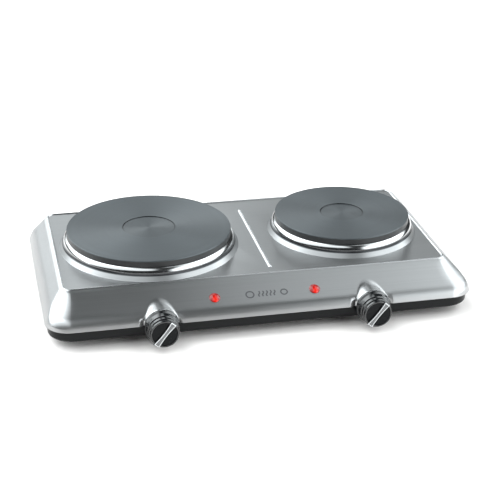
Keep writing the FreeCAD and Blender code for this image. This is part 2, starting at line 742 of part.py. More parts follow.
def bush_nuts():
    nuts = []
    for x in (-KNOB_X, KNOB_X):
        nut = hexagon(BUSH_NUT_FLATS, along(x, -BUSH_NUT), along(x, 0))
        nuts.append(nut.cut(rod(BUSH_R, along(x, -BUSH_NUT - CUT_MARGIN), along(x, CUT_MARGIN))))
    return Part.makeCompound(nuts)


def spindle_nut(x):
    """Square nut on the shaft's screw end, with the ceramic tip that moves the contact."""
    half = SPINDLE_NUT_HALF
    nut = box(x - half, x + half, BOSS_FACE_Y + SPINDLE_NUT_START, BOSS_FACE_Y + SPINDLE_NUT_END,
              KNOB_Z - half, KNOB_Z + half)
    nut = nut.fuse(rod(TIP_R, along(x, SPINDLE_NUT_END), along(x, TIP_END)))
    return nut.cut(rod(SPINDLE_R + RUNNING, along(x, SPINDLE_NUT_START), along(x, SPINDLE_BORE_END)))


def contact_leaf(x):
    """Spring leaf that the spindle nut's tip pushes back, with a rolled eye and its contact rivet."""
    front = BOSS_FACE_Y + TIP_END + LEAF_GAP
    rear = front + LEAF_THICK
    low = KNOB_Z - LEAF_HALF_HEIGHT
    high = KNOB_Z + LEAF_HALF_HEIGHT
    leaf = box(x - LEAF_PIVOT, x + LEAF_END, front, rear, low, high)
    eye = vec(x - LEAF_PIVOT, front + LEAF_THICK / 2, low)
    leaf = leaf.fuse(rod(LEAF_EYE_R, eye, eye.add(vec(0, 0, high - low))))
    rivet = vec(x + RIVET_X, rear, KNOB_Z)
    return leaf.fuse(rod(RIVET_R, rivet, rivet.add(vec(0, RIVET_HEIGHT, 0))))


def ceramic_base(x):
    """Ceramic body behind the frame: floor, post for the leaf and back wall."""
    end = BOSS_FACE_Y + CERAMIC_END
    half = FRAME_HALF
    low = KNOB_Z - FRAME_LOW
    base = box(x - half, x + half, BOSS_FACE_Y + CERAMIC_START, end, low, KNOB_Z - CERAMIC_FLOOR)
    base = base.fuse(box(x - half, x - CERAMIC_POST_HALF, BOSS_FACE_Y + CERAMIC_POST, end,
                         low, KNOB_Z + CERAMIC_TOP))
    base = base.fuse(box(x - half, x + half, BOSS_FACE_Y + CERAMIC_BACK, end, low, KNOB_Z + CERAMIC_TOP))
    return base.cut(Part.makeCompound(thermostat_contacts(x)))


def thermostat_contacts(x):
    """Fixed contact rivet and two terminal blades in the ceramic's back wall."""
    rivet = rod(RIVET_R, vec(x + RIVET_X, BOSS_FACE_Y + FIXED_RIVET, KNOB_Z),
                vec(x + RIVET_X, BOSS_FACE_Y + FIXED_RIVET_END, KNOB_Z))
    half = BLADE_WIDTH / 2
    start = BOSS_FACE_Y + SWITCH_BLADE_START
    end = BOSS_FACE_Y + SWITCH_BLADE_END
    blades = []
    for middle in (x - RIVET_X, x + RIVET_X):
        blades.append(box(middle - BLADE_THICK / 2, middle + BLADE_THICK / 2, start, end,
                          KNOB_Z - half, KNOB_Z + half))
    return [rivet.fuse(blades[1]), blades[0]]


def lamp_lens(x):
    """Domed lens with a neck that passes through the fascia."""
    roof = 0.4
    lens = Part.Face(outline([vec(0, 0, LENS_DOME), (vec(3.6, 0, 2.35), vec(LENS_R - 0.5, 0, 0.9)),
                              vec(LENS_R, 0, 0.6), vec(LENS_R, 0, 0), vec(LENS_NECK_R, 0, 0),
                              vec(LENS_NECK_R, 0, -LENS_NECK), vec(LAMP_TUBE_R, 0, -LENS_NECK),
                              vec(LAMP_TUBE_R, 0, roof), vec(0, 0, 3 * roof)]))
    return placed(lens.revolve(vec(0, 0, 0), UP, 360), lamp_place(x))


def lamp_body(x):
    """Neon lamp in its sleeve, with two lead stubs."""
    body = rod(LAMP_TUBE_R - FIT_GAP, vec(0, 0, -LENS_NECK), vec(0, 0, -CUT_MARGIN))
    body = body.fuse(rod(LENS_NECK_R, vec(0, 0, -LAMP_END), vec(0, 0, -LENS_NECK)))
    for lead_x in (-LEAD_SPREAD, LEAD_SPREAD):
        body = body.fuse(rod(LEAD_R, vec(lead_x, 0, -LEAD_END), vec(lead_x, 0, -LAMP_END)))
    return placed(body, lamp_place(x))


def lamp_clips():
    """Push-on spring washers that hold the lenses from inside."""
    low = -SHEET - CLIP_THICK
    clip = tube(CLIP_R, LENS_NECK_R + RUNNING, vec(0, 0, low), vec(0, 0, -SHEET))
    for index in range(4):
        notch = box(LENS_NECK_R - 0.5, CLIP_R - 1.3, -0.5, 0.5, low - CUT_MARGIN, 0)
        notch.rotate(vec(0, 0, 0), UP, 90 * index + 45)
        clip = clip.cut(notch)
    return Part.makeCompound([placed(clip, lamp_place(x)) for x in (-LAMP_X, LAMP_X)])


def foot(x, y):
    """Rubber foot, slightly tapered, with a recess for its screw's head."""
    body = Part.makeCone(FOOT_R - FOOT_TAPER, FOOT_R, FOOT_HEIGHT, vec(x, y, 0))
    body = body.cut(rod(FOOT_RECESS_R, vec(x, y, 0), vec(x, y, FOOT_RECESS)))
    return body.cut(rod(SCREW_R + FIT_GAP, vec(x, y, 0), vec(x, y, FOOT_HEIGHT)))


def screw(x, y, head_z, length):
    """Pan-head screw pointing up; head_z is where the head bears."""
    low = head_z - HEAD_HEIGHT
    half = SCREW_SLOT / 2
    head = rod(HEAD_R, vec(x, y, low), vec(x, y, head_z))
    head = head.cut(box(x - half, x + half, y - HEAD_R, y + HEAD_R, low, low + SCREW_SLOT))
    return head.fuse(rod(SCREW_R, vec(x, y, head_z - half), vec(x, y, head_z + length)))


def foot_screws():
    return Part.makeCompound([screw(x, y, FOOT_RECESS, FOOT_SCREW) for x, y in foot_places()])


def foot_nuts():
    nuts = []
    low = FOOT_HEIGHT + SHEET
    for x, y in foot_places():
        nut = hexagon(SMALL_NUT_FLATS, vec(x, y, low), vec(x, y, low + SMALL_NUT))
        nuts.append(nut.cut(rod(SCREW_R, vec(x, y, low), vec(x, y, low + SMALL_NUT + CUT_MARGIN))))
    return Part.makeCompound(nuts)


def case_brackets():
    """Z-shaped straps between the deck's underside and the pan's floor."""
    low = FOOT_HEIGHT + SHEET
    high = DECK_Z - SHEET
    half = BRACKET_WIDTH / 2
    straps = []
    for x, y in bracket_places():
        inward = -1 if x > 0 else 1
        outer = x - inward * half
        strap = box(x - half, x + half, y - half, y + half, low, low + BRACKET_WALL)
        top_end = outer + inward * BRACKET_WIDTH
        strap = strap.fuse(box(min(outer, top_end), max(outer, top_end), y - half, y + half,
                               high - BRACKET_WALL, high))
        web_end = outer + inward * BRACKET_WALL
        strap = strap.fuse(box(min(outer, web_end), max(outer, web_end), y - half, y + half, low, high))
        straps.append(strap.cut(rod(SCREW_R, vec(x, y, low - CUT_MARGIN), vec(x, y, low + 2 * BRACKET_WALL))))
    return Part.makeCompound(straps)


def case_screws():
    return Part.makeCompound([screw(x, y, FOOT_HEIGHT, CASE_SCREW) for x, y in bracket_places()])


def pole_point(x, y_step, rise):
    """Point beside a pole of the mains block, at a height above the pan's floor."""
    return vec(x, BLOCK_Y + y_step, FOOT_HEIGHT + SHEET + rise)


def pole_places():
    return [GLAND_X - POLE_PITCH, GLAND_X, GLAND_X + POLE_PITCH]


def mains_block():
    """Three-pole terminal block on the pan's floor."""
    low = FOOT_HEIGHT + SHEET
    half_length = POLE_PITCH + POLE_R + BLOCK_MARGIN
    half_width = POLE_HALF_LENGTH + BLOCK_MARGIN
    tower_bore = POLE_TOWER_R - 1
    block = box(GLAND_X - half_length, GLAND_X + half_length, BLOCK_Y - half_width, BLOCK_Y + half_width,
                low, low + POLE_BASE)
    for x in pole_places():
        post = rod(POLE_R, pole_point(x, -POLE_HALF_LENGTH, POLE_Z), pole_point(x, POLE_HALF_LENGTH, POLE_Z))
        tower = rod(POLE_TOWER_R, pole_point(x, 0, POLE_BASE), pole_point(x, 0, POLE_TOWER))
        block = block.fuse(post.fuse(tower))
    for x in pole_places():
        front = pole_point(x, -half_width, POLE_Z)
        block = block.cut(rod(POLE_BORE_R, front, front.add(vec(0, 2 * half_width, 0))))
        block = block.cut(rod(tower_bore, pole_point(x, 0, POLE_Z + 1), pole_point(x, 0, POLE_TOWER + 1)))
    return block


def block_screws():
    slot_half = 0.4
    screws = []
    for x in pole_places():
        body = rod(POLE_SCREW_R, pole_point(x, 0, POLE_SCREW_START), pole_point(x, 0, POLE_SCREW_END))
        top = FOOT_HEIGHT + SHEET + POLE_SCREW_END
        screws.append(body.cut(box(x - slot_half, x + slot_half, BLOCK_Y - POLE_SCREW_R,
                                   BLOCK_Y + POLE_SCREW_R, top - 2 * slot_half, top)))
    return Part.makeCompound(screws)


def cord_gland():
    """Rubber grommet in the rear wall, with the bore that a cord goes through."""
    wall_outer = REAR_FOLD_Y - PAN_INSET
    wall_inner = wall_outer - SHEET
    start = wall_inner - GLAND_INNER
    end = wall_outer + GLAND_OUTER
    neck = CORD_BORE_R + GLAND_WALL
    flange = neck + GLAND_FLANGE

    def step(radius, y0, y1):
        return rod(radius, vec(GLAND_X, y0, GLAND_Z), vec(GLAND_X, y1, GLAND_Z))

    body = step(neck, start, end)
    body = body.fuse([step(flange, start, wall_inner - FIT_GAP), step(flange, wall_outer + FIT_GAP, end)])
    return body.cut(step(CORD_BORE_R, start - CUT_MARGIN, end + CUT_MARGIN))


def at_earth(rise):
    """Point on the earth stud's axis, at a height above the pan's floor."""
    return vec(EARTH_X, BLOCK_Y, FOOT_HEIGHT + SHEET + rise)


def earth_stud():
    stud = rod(SCREW_R, at_earth(-SHEET), at_earth(EARTH_LENGTH))
    return stud.fuse(rod(EARTH_HEAD_R, at_earth(-SHEET - EARTH_HEAD), at_earth(-SHEET)))


def earth_nuts():
    """Washer and nut on the earth stud."""
    washer = tube(EARTH_WASHER_R, SCREW_R + FIT_GAP, at_earth(0), at_earth(1))
    nut = hexagon(SMALL_NUT_FLATS, at_earth(1), at_earth(1 + SMALL_NUT))
    return Part.makeCompound([washer, nut.cut(rod(SCREW_R, at_earth(0), at_earth(2 + SMALL_NUT)))])


def wire_run(points, radius):
    """Round wire along straight runs joined by tangent arcs as large as the runs allow."""
    edges = []
    last = points[0]
    for index in range(1, len(points) - 1):
        here = points[index]
        back = points[index - 1].sub(here)
        ahead = points[index + 1].sub(here)
        reach = 0.45 * min(back.Length, ahead.Length)
        entry = here.add(vec(*back).normalize().multiply(reach))
        leave = here.add(vec(*ahead).normalize().multiply(reach))
        half_turn = (math.pi - back.getAngle(ahead)) / 2
        bend = reach / math.tan(half_turn)
        middle_direction = entry.add(leave).multiply(0.5).sub(here)
        centre_distance = math.hypot(bend, reach)
        middle = here.add(vec(*middle_direction).normalize().multiply(centre_distance - bend))
        edges.append(Part.LineSegment(last, entry).toShape())
        edges.append(Part.Arc(entry, middle, leave).toShape())
        last = leave
    edges.append(Part.LineSegment(last, points[-1]).toShape())
    path = Part.Wire(edges)
    start = points[0]
    circle = Part.Wire(Part.makeCircle(radius, start, points[1].sub(start)))
    return path.makePipeShell([circle], True, False)


def pole_face(index, side):
    """Where a wire meets the front of a pole of the mains block."""
    return pole_point(pole_places()[index] + side * (WIRE_R + 0.2), -POLE_HALF_LENGTH, POLE_Z)


def switch_blade(side, spread):
    """Rear end of a thermostat's terminal blade."""
    return vec(side * (KNOB_X + spread), BOSS_FACE_Y + SWITCH_BLADE_END, KNOB_Z)


def stepped(point, x, y, z):
    return point.add(vec(x, y, z))


def sides():
    return (-1, LARGE_X, LARGE_R), (1, SMALL_X, SMALL_R)


def supply_wires():
    """From the mains block to the thermostats and plates, and to the earth stud."""
    wires = []
    blade_low = DECK_Z - BLADE_DROP
    for side, plate_x, radius in sides():
        start = pole_face(0, side)
        blade = switch_blade(side, -RIVET_X)
        wires.append(wire_run([start, stepped(start, 0, -22, 0), vec(side * 20, 5, 17),
                               vec(side * 62, -48, 18), stepped(blade, 0, 17, 0), blade], WIRE_R))
        start = pole_face(1, side)
        blade_x = plate_x - side * BLADE_SPREAD
        y = terminal_y(radius)
        wires.append(wire_run([start, stepped(start, 0, -12, 0), stepped(start, side * 6, -22, -7),
                               vec(side * 42, y - 4, 12), vec(blade_x - side * 14, y - 2, 13),
                               vec(blade_x, y, 20), vec(blade_x, y, blade_low)], WIRE_R))
    start = pole_face(2, 0)
    stud_side = BLOCK_Y - SCREW_R - FIT_GAP
    wires.append(wire_run([start, stepped(start, 0, -12, 0), vec(EARTH_X - 10, 70, 18.5),
                           vec(EARTH_X, 80, 18), vec(EARTH_X, stud_side, 18)], WIRE_R))
    return Part.makeCompound(wires)


def switched_wires():
    """From the thermostats to the plates, with each lamp's two leads beside them."""
    wires = []
    blade_low = DECK_Z - BLADE_DROP
    for side, plate_x, radius in sides():
        blade = switch_blade(side, RIVET_X)
        blade_x = plate_x + side * BLADE_SPREAD
        y = terminal_y(radius)
        wires.append(wire_run([blade, stepped(blade, 0, 19, 0), vec(blade.x + side * 6, -10, 17),
                               vec(blade_x + side * 3, y - 26, 16), vec(blade_x, y, 20),
                               vec(blade_x, y, blade_low)], WIRE_R))
        lead = lamp_place(side * LAMP_X).multVec(vec(side * LEAD_SPREAD, 0, -LEAD_END))
        contact = stepped(switch_blade(side, -RIVET_X - BLADE_THICK / 2), 0, -4, 0)
        wires.append(wire_run([lead, stepped(lead, 0, 3, -7), vec(side * 72, -86, 14),
                               stepped(contact, -side * 14, 0, 0), contact], WIRE_R))
        lead = lamp_place(side * LAMP_X).multVec(vec(-side * LEAD_SPREAD, 0, -LEAD_END))
        neutral_x = plate_x - side * BLADE_SPREAD
        wires.append(wire_run([lead, stepped(lead, 0, 3, -7), vec(side * 54, -66, 11.6),
                               vec(side * 86, 10, 11.6), vec(neutral_x, y - 26, 26),
                               vec(neutral_x, y - 12, 36), vec(neutral_x, y - 0.5, 36)], WIRE_R))
    return Part.makeCompound(wires)


def build():
    parts = {"top_cover": top_cover(), "base_pan": base_pan()}
    for size, x, radius in (("large", LARGE_X, LARGE_R), ("small", SMALL_X, SMALL_R)):
        parts[size + "_hot_plate"] = hot_plate(x, radius)
        parts[size + "_spill_ring"] = spill_ring(x, radius)
        parts[size + "_heating_coil"] = heating_coil(x, radius)
        parts[size + "_coil_filling"] = coil_filling(x, radius)
        parts[size + "_undercover"] = undercover(x, radius)
        parts[size + "_terminal_block"] = terminal_block(x, radius)
        parts[size + "_terminal_blades"] = Part.makeCompound(plate_blades(x, radius))
        parts[size + "_clamp_bar"] = clamp_bar(x, radius)
        parts[size + "_clamp_stud"] = clamp_stud(x)
    for side, sign in (("left", -1), ("right", 1)):
        x = sign * KNOB_X
        parts[side + "_knob"] = knob(x)
        parts[side + "_pointer_strip"] = pointer_strip(x)
        parts[side + "_thermostat_shaft"] = thermostat_shaft(x)
        parts[side + "_thermostat_frame"] = thermostat_frame(x)
        parts[side + "_thermostat_bush"] = thermostat_bush(x)
        parts[side + "_spindle_nut"] = spindle_nut(x)
        parts[side + "_contact_leaf"] = contact_leaf(x)
        parts[side + "_ceramic_base"] = ceramic_base(x)
        parts[side + "_contacts"] = Part.makeCompound(thermostat_contacts(x))
        parts[side + "_lamp_lens"] = lamp_lens(sign * LAMP_X)
        parts[side + "_lamp_body"] = lamp_body(sign * LAMP_X)
    for name, place in zip(("front_left_foot", "rear_left_foot", "front_right_foot", "rear_right_foot"),
                           foot_places()):
        parts[name] = foot(*place)
    parts["clamp_nuts"] = clamp_nuts()
    parts["bush_nuts"] = bush_nuts()
    parts["lamp_clips"] = lamp_clips()
    parts["foot_screws"] = foot_screws()
    parts["foot_nuts"] = foot_nuts()
    parts["case_brackets"] = case_brackets()
    parts["case_screws"] = case_screws()
    parts["mains_block"] = mains_block()
    parts["block_screws"] = block_screws()
    parts["cord_gland"] = cord_gland()
    parts["earth_stud"] = earth_stud()
    parts["earth_nuts"] = earth_nuts()
    parts["supply_wires"] = supply_wires()
    parts["switched_wires"] = switched_wires()
    return parts


os.makedirs("parts", exist_ok=True)
for node, solid in build().items():
    solid.exportStep("parts/" + node + ".step")
    print(node, len(solid.Solids), "solids", round(solid.Volume, 1), "mm3", solid.isValid())
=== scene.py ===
import json
import math

import bmesh
import bpy
import numpy as np
from mathutils import Matrix, Vector


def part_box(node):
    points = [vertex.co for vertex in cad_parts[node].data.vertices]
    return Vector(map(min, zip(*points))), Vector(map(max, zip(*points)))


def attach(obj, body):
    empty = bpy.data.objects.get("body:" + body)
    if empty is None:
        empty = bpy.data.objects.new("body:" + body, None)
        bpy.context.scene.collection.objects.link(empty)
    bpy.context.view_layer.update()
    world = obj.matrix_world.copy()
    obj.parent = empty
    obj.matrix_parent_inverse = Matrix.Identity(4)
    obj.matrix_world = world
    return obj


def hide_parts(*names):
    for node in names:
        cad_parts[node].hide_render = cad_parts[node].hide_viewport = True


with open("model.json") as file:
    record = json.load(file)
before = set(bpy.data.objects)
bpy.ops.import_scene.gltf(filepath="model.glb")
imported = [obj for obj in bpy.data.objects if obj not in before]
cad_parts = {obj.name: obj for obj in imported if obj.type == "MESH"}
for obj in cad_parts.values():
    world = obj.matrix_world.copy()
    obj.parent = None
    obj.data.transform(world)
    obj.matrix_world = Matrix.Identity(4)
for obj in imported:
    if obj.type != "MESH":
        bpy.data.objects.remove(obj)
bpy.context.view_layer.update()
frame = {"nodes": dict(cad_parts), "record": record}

# A double table-top hot plate. Metres, +Z up, front towards -Y, in the CAD's own frame.
# Cover geometry is worked out in millimetres with numpy and scaled once, by MM.
MM = 0.001

# ---- sizes read from the frame ----
cover_low, cover_high = (corner * 1000 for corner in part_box("top_cover"))
BEAD_HEIGHT = 1.1
BOSS_PROUD = 1.5
LIP_FLARE = 2.6
HALF_WIDTH = cover_high.x - LIP_FLARE
REAR_Y = cover_high.y - LIP_FLARE
FRONT_Y = cover_low.y + LIP_FLARE
BOSS_FACE_Y = FRONT_Y - BOSS_PROUD
DECK_Z = cover_high.z - BEAD_HEIGHT

knob_low, knob_high = (corner * 1000 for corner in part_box("right_knob"))
KNOB_X = (knob_low.x + knob_high.x) / 2
KNOB_Z = (knob_low.z + knob_high.z) / 2

# ---- sizes of the pressed cover, in millimetres ----
FOLD_Z = DECK_Z - 17.6
LIP_Z = DECK_Z - 27.6
SIDE_SLOPE = 17.4
REAR_SLOPE = SIDE_SLOPE - LIP_FLARE
FRONT_SLOPE = 39.6
DECK_CORNER = 11.0
LIP_CORNER = 24.0
CORNER_SWELL = 16.0
BEAD_WIDTH = 4.4
SHEET = 0.8
BOSS_R = 17.0
FASCIA_ANGLE = math.atan2(DECK_Z - FOLD_Z, FRONT_SLOPE)
FOLD_BLEND = 5.5
BOSS_FADE = 7.0
DECK_BLEND = 1.6
BOSS_BLEND = 2.6
BOSS_EDGE = 1.4
SKELETON_MARGIN = 7.0
SEAT_FADE = 1.2
RING_FOOT = 8.8
RIM_HEIGHT = 7.0
DECK_HOLE_STEP = 6.0
DIVIDER_X = 15.4
DIVIDER_FRONT_Y = -63.8
DIVIDER_REAR_Y = 98.4
TAB_DROP = 11.0
TAB_HALF_WIDTH = 14.0
TAB_CORNER = 4.0

# ---- fineness of the cover's mesh ----
CORNER_STEPS = 28
HOLE_STEPS = 160
RIB_STEPS = 12
TAB_STEPS = 8
HALVINGS = 34
BOSS_ZONE = 26.0            # half-width of the finely divided strip at each boss, in millimetres
RIB_MARGIN = 0.5            # flat border round the divider rib, in millimetres
WELD = 2e-5                 # metres

# ---- camera: place in metres, angles in degrees ----
CAMERA_PLACE = (-0.3010, -1.33725, 0.67695)
CAMERA_YAW = 12.965
CAMERA_PITCH = 24.818
CAMERA_ROLL = 0.778
CAMERA_LENS = 95.67
SENSOR_WIDTH = 36.0


def mesh_object(name, verts, faces, smooth=True):
    """A mesh piece from plain lists, its normals outwards."""
    mesh = bpy.data.meshes.new(name)
    mesh.from_pydata([tuple(v) for v in verts], [], [tuple(f) for f in faces])
    mesh.update()
    piece = bpy.data.objects.new(name, mesh)
    bpy.context.scene.collection.objects.link(piece)
    tidy_mesh(piece)
    for polygon in mesh.polygons:
        polygon.use_smooth = smooth
    return piece


def tidy_mesh(piece, merge=1e-6):
    work = bmesh.new()
    work.from_mesh(piece.data)
    bmesh.ops.remove_doubles(work, verts=work.verts, dist=merge)
    bmesh.ops.recalc_face_normals(work, faces=work.faces)
    work.to_mesh(piece.data)
    work.free()
    piece.data.update()


def weighted(piece):
    """Keeps flat faces flat beside small fillets."""
    modifier = piece.modifiers.new("weighted_normals", "WEIGHTED_NORMAL")
    modifier.mode = "FACE_AREA"
    modifier.weight = 100
    modifier.keep_sharp = True
    return piece


def finish_piece(piece, body, slot, material, *replaced):
    piece.data.materials.clear()
    piece.data.materials.append(material)
    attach(piece, body)
    if replaced:
        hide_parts(*replaced)
    return piece


# ---- turned pieces ----
def rounded(points, steps=5):
    """Profile points (radius, height, fillet) as a plain list with each corner rounded."""
    out = []
    count = len(points)
    for index, (r, h, fillet) in enumerate(points):
        here = Vector((r, h))
        if fillet <= 0 or index in (0, count - 1):
            out.append(here)
            continue
        back = Vector(points[index - 1][:2]) - here
        ahead = Vector(points[index + 1][:2]) - here
        turn = back.angle(ahead)
        reach = min(fillet / math.tan(turn / 2), 0.48 * back.length, 0.48 * ahead.length)
        start = here + back.normalized() * reach
        end = here + ahead.normalized() * reach
        for step in range(steps + 1):
            t = step / steps
            out.append(start * (1 - t) ** 2 + here * 2 * t * (1 - t) + end * t ** 2)
    return out


def lathe(name, profile, segments, place, closed=False):
    """Turns a profile of (radius, height) about the local Z axis; place takes it to the frame."""
    verts = []
    rings = []
    for point in profile:
        r, h = point
        if r < 1e-7:
            rings.append([len(verts)])
            verts.append(place @ Vector((0, 0, h)))
            continue
        ring = []
        for k in range(segments):
            angle = 2 * math.pi * k / segments
            ring.append(len(verts))
            verts.append(place @ Vector((r * math.cos(angle), r * math.sin(angle), h)))
        rings.append(ring)
    faces = []
    pairs = list(zip(rings, rings[1:] + ([rings[0]] if closed else [])))
    if not closed:
        pairs = pairs[:len(rings) - 1]
    for a, b in pairs:
        for k in range(segments):
            n = (k + 1) % segments
            if len(a) == 1 and len(b) == 1:
                break
            if len(a) == 1:
                faces.append((a[0], b[n], b[k]))
            elif len(b) == 1:
                faces.append((a[k], a[n], b[0]))
            else:
                faces.append((a[k], a[n], b[n], b[k]))
    return mesh_object(name, verts, faces)


# ---- the pressed cover's surface, as a field that is zero on it ----
def round_rect(x, y, x0, x1, y0, y1, radius):
    """Signed distance in plan to a rectangle with round corners, negative inside."""
    qx = np.abs(x - (x0 + x1) / 2) - (x1 - x0) / 2 + radius
    qy = np.abs(y - (y0 + y1) / 2) - (y1 - y0) / 2 + radius
    outside = np.hypot(np.maximum(qx, 0), np.maximum(qy, 0))
    return outside + np.minimum(np.maximum(qx, qy), 0) - radius


def smooth_max(a, b, k):
    h = np.maximum(k - np.abs(a - b), 0) / k
    return np.maximum(a, b) + h * h * k / 4


def smooth_min(a, b, k):
    return -smooth_max(-a, -b, k)


def slope_field(x, y, z):
    t = np.maximum((z - FOLD_Z) / (DECK_Z - FOLD_Z), -0.4)
    side = SIDE_SLOPE * t
    radius = LIP_CORNER + t * (DECK_CORNER - LIP_CORNER) + CORNER_SWELL * np.maximum(t * (1 - t), 0)
    return round_rect(x, y, side - HALF_WIDTH, HALF_WIDTH - side,
                      FRONT_Y + FRONT_SLOPE * t, REAR_Y - REAR_SLOPE * t, radius)


def lip_field(x, y, z, boss_centres):
    """The lip, leaning outwards as it comes down, but upright beside the bosses."""
    flare = LIP_FLARE * (FOLD_Z - z) / (FOLD_Z - LIP_Z)
    for centre in boss_centres:
        clear = np.clip((np.abs(x - centre) - BOSS_R) / BOSS_FADE, 0, 1)
        flare = flare * np.where(y < 0, clear * clear * (3 - 2 * clear), 1)
    return round_rect(x, y, -HALF_WIDTH, HALF_WIDTH, FRONT_Y, REAR_Y, LIP_CORNER) - flare


def bead_rise(distance):
    """Height of the bead at a distance from its outer edge."""
    half = BEAD_WIDTH / 2
    share = np.clip(np.abs(distance - half) / half, 0, 1)
    return BEAD_HEIGHT * (1 - share ** 2) ** 1.3


def cover_field(x, y, z, boss_centres, boss_z, seats):
    step = 0.01
    slope = slope_field(x, y, z)
    gx = slope_field(x + step, y, z) - slope
    gy = slope_field(x, y + step, z) - slope
    gz = slope_field(x, y, z + step) - slope
    slope = slope / np.maximum(np.sqrt(gx * gx + gy * gy + gz * gz) / step, 0.5)
    lip = lip_field(x, y, z, boss_centres)
    inside = -round_rect(x, y, SIDE_SLOPE - HALF_WIDTH, HALF_WIDTH - SIDE_SLOPE,
                         FRONT_Y + FRONT_SLOPE, REAR_Y - REAR_SLOPE, DECK_CORNER)
    rise = bead_rise(inside)
    for seat_x, seat_y, seat_radius in seats:
        clear = np.hypot(x - seat_x, y - seat_y) - seat_radius
        rise = rise * np.clip(clear / SEAT_FADE, 0, 1)
    deck = z - DECK_Z - rise
    field = smooth_max(smooth_max(slope, lip, FOLD_BLEND), deck, DECK_BLEND)
    for centre in boss_centres:
        boss = np.hypot(x - centre, z - boss_z) - BOSS_R
        boss = np.maximum(smooth_max(boss, BOSS_FACE_Y - y, BOSS_EDGE), y)
        field = smooth_min(field, boss, BOSS_BLEND)
    return field


def spaced(start, end, step):
    count = max(1, int(round(abs(end - start) / step)))
    return [start + (end - start) * k / count for k in range(count)]


def cover_stations(boss_centres):
    """Points round the edge: (lip point, deck-edge point, outward direction), in plan."""
    stations = []
    lip_x = HALF_WIDTH - LIP_CORNER
    deck_x = HALF_WIDTH - SIDE_SLOPE - DECK_CORNER
    xs = []
    cuts = [-lip_x]
    for centre in boss_centres:
        cuts += [centre - BOSS_ZONE, centre + BOSS_ZONE]
    cuts.append(lip_x)
    for index in range(len(cuts) - 1):
        xs += spaced(cuts[index], cuts[index + 1], 0.55 if index % 2 else 4.0)
    lip_y0, lip_y1 = FRONT_Y + LIP_CORNER, REAR_Y - LIP_CORNER
    deck_y0 = FRONT_Y + FRONT_SLOPE + DECK_CORNER
    deck_y1 = REAR_Y - REAR_SLOPE - DECK_CORNER

    def corner(sx, sy, first):
        lip = Vector((sx * lip_x, lip_y0 if sy < 0 else lip_y1))
        deck = Vector((sx * deck_x, deck_y0 if sy < 0 else deck_y1))
        for k in range(CORNER_STEPS):
            angle = math.radians(first + 90 * k / CORNER_STEPS)
            out = Vector((math.cos(angle), math.sin(angle)))
            stations.append((lip + out * LIP_CORNER, deck + out * DECK_CORNER, out))

    def side(values, fixed_lip, fixed_deck, ratio, along_x, out):
        for value in values:
            if along_x:
                stations.append((Vector((value, fixed_lip)), Vector((value * ratio, fixed_deck)), out))
            else:
                share = (value - lip_y0) / (lip_y1 - lip_y0)
                deck_value = deck_y0 + share * (deck_y1 - deck_y0)
                stations.append((Vector((fixed_lip, value)), Vector((fixed_deck, deck_value)), out))

    ratio = deck_x / lip_x
    side(xs, FRONT_Y, FRONT_Y + FRONT_SLOPE, ratio, True, Vector((0, -1)))
    corner(1, -1, -90)
    side(spaced(lip_y0, lip_y1, 5.0), HALF_WIDTH, HALF_WIDTH - SIDE_SLOPE, 1, False, Vector((1, 0)))
    corner(1, 1, 0)
    side(spaced(lip_x, -lip_x, 6.0), REAR_Y, REAR_Y - REAR_SLOPE, ratio, True, Vector((0, 1)))
    corner(-1, 1, 90)
    side(spaced(lip_y1, lip_y0, 5.0), -HALF_WIDTH, SIDE_SLOPE - HALF_WIDTH, 1, False, Vector((-1, 0)))
    corner(-1, -1, 180)
    return stations


def cover_rows():
    """Reference rows up the profile: ('lip', z), ('slope', share) or ('deck', distance in)."""
    rows = [("lip", z) for z in spaced(LIP_Z, FOLD_Z, 0.55)]
    rows += [("slope", t) for t in spaced(0.0, 0.36, 0.0135)]
    rows += [("slope", t) for t in spaced(0.36, 0.9, 0.03)]
    rows += [("slope", t) for t in spaced(0.9, 1.0, 0.02)]
    rows += [("deck", d) for d in spaced(0.0, BEAD_WIDTH + 0.6, 0.28)]
    rows += [("deck", BEAD_WIDTH + 0.6), ("deck", SKELETON_MARGIN - 0.6)]
    return rows


def cover_skirt(boss_centres, boss_z, seats):
    """Vertices and faces of everything outside the flat deck, and the inner loop's indices."""
    stations = cover_stations(boss_centres)
    rows = cover_rows()
    origins = np.zeros((len(rows), len(stations), 3))
    targets = np.zeros_like(origins)
    for c, (lip, deck, out) in enumerate(stations):
        base = deck - out * SKELETON_MARGIN
        for r, (kind, value) in enumerate(rows):
            if kind == "lip":
                share = (FOLD_Z - value) / (FOLD_Z - LIP_Z)
                plan, z = lip + out * LIP_FLARE * share, value
            elif kind == "slope":
                plan, z = lip.lerp(deck, value), FOLD_Z + (DECK_Z - FOLD_Z) * value
            else:
                plan, z = deck - out * value, DECK_Z
            origins[r, c] = (base.x, base.y, LIP_Z)
            targets[r, c] = (plan.x, plan.y, z)
    ray = targets - origins
    low = np.full(ray.shape[:2], 0.5)
    high = np.full(ray.shape[:2], 1.7)
    for _ in range(HALVINGS):
        middle = (low + high) / 2
        p = origins + ray * middle[..., None]
        outside = cover_field(p[..., 0], p[..., 1], p[..., 2], boss_centres, boss_z, seats) > 0
        high = np.where(outside, middle, high)
        low = np.where(outside, low, middle)
    points = origins + ray * ((low + high) / 2)[..., None]
    columns = len(stations)
    verts = [Vector(p) * MM for p in points.reshape(-1, 3)]
    faces = []
    for r in range(len(rows) - 1):
        for c in range(columns):
            n = (c + 1) % columns
            faces.append((r * columns + c, r * columns + n, (r + 1) * columns + n, (r + 1) * columns + c))
    inner = [(len(rows) - 1) * columns + c for c in range(columns)]
    return verts, faces, inner


def add_loop(work, points):
    verts = [work.verts.new(p) for p in points]
    edges = [work.edges.new((verts[k], verts[(k + 1) % len(verts)])) for k in range(len(verts))]
    return verts, edges


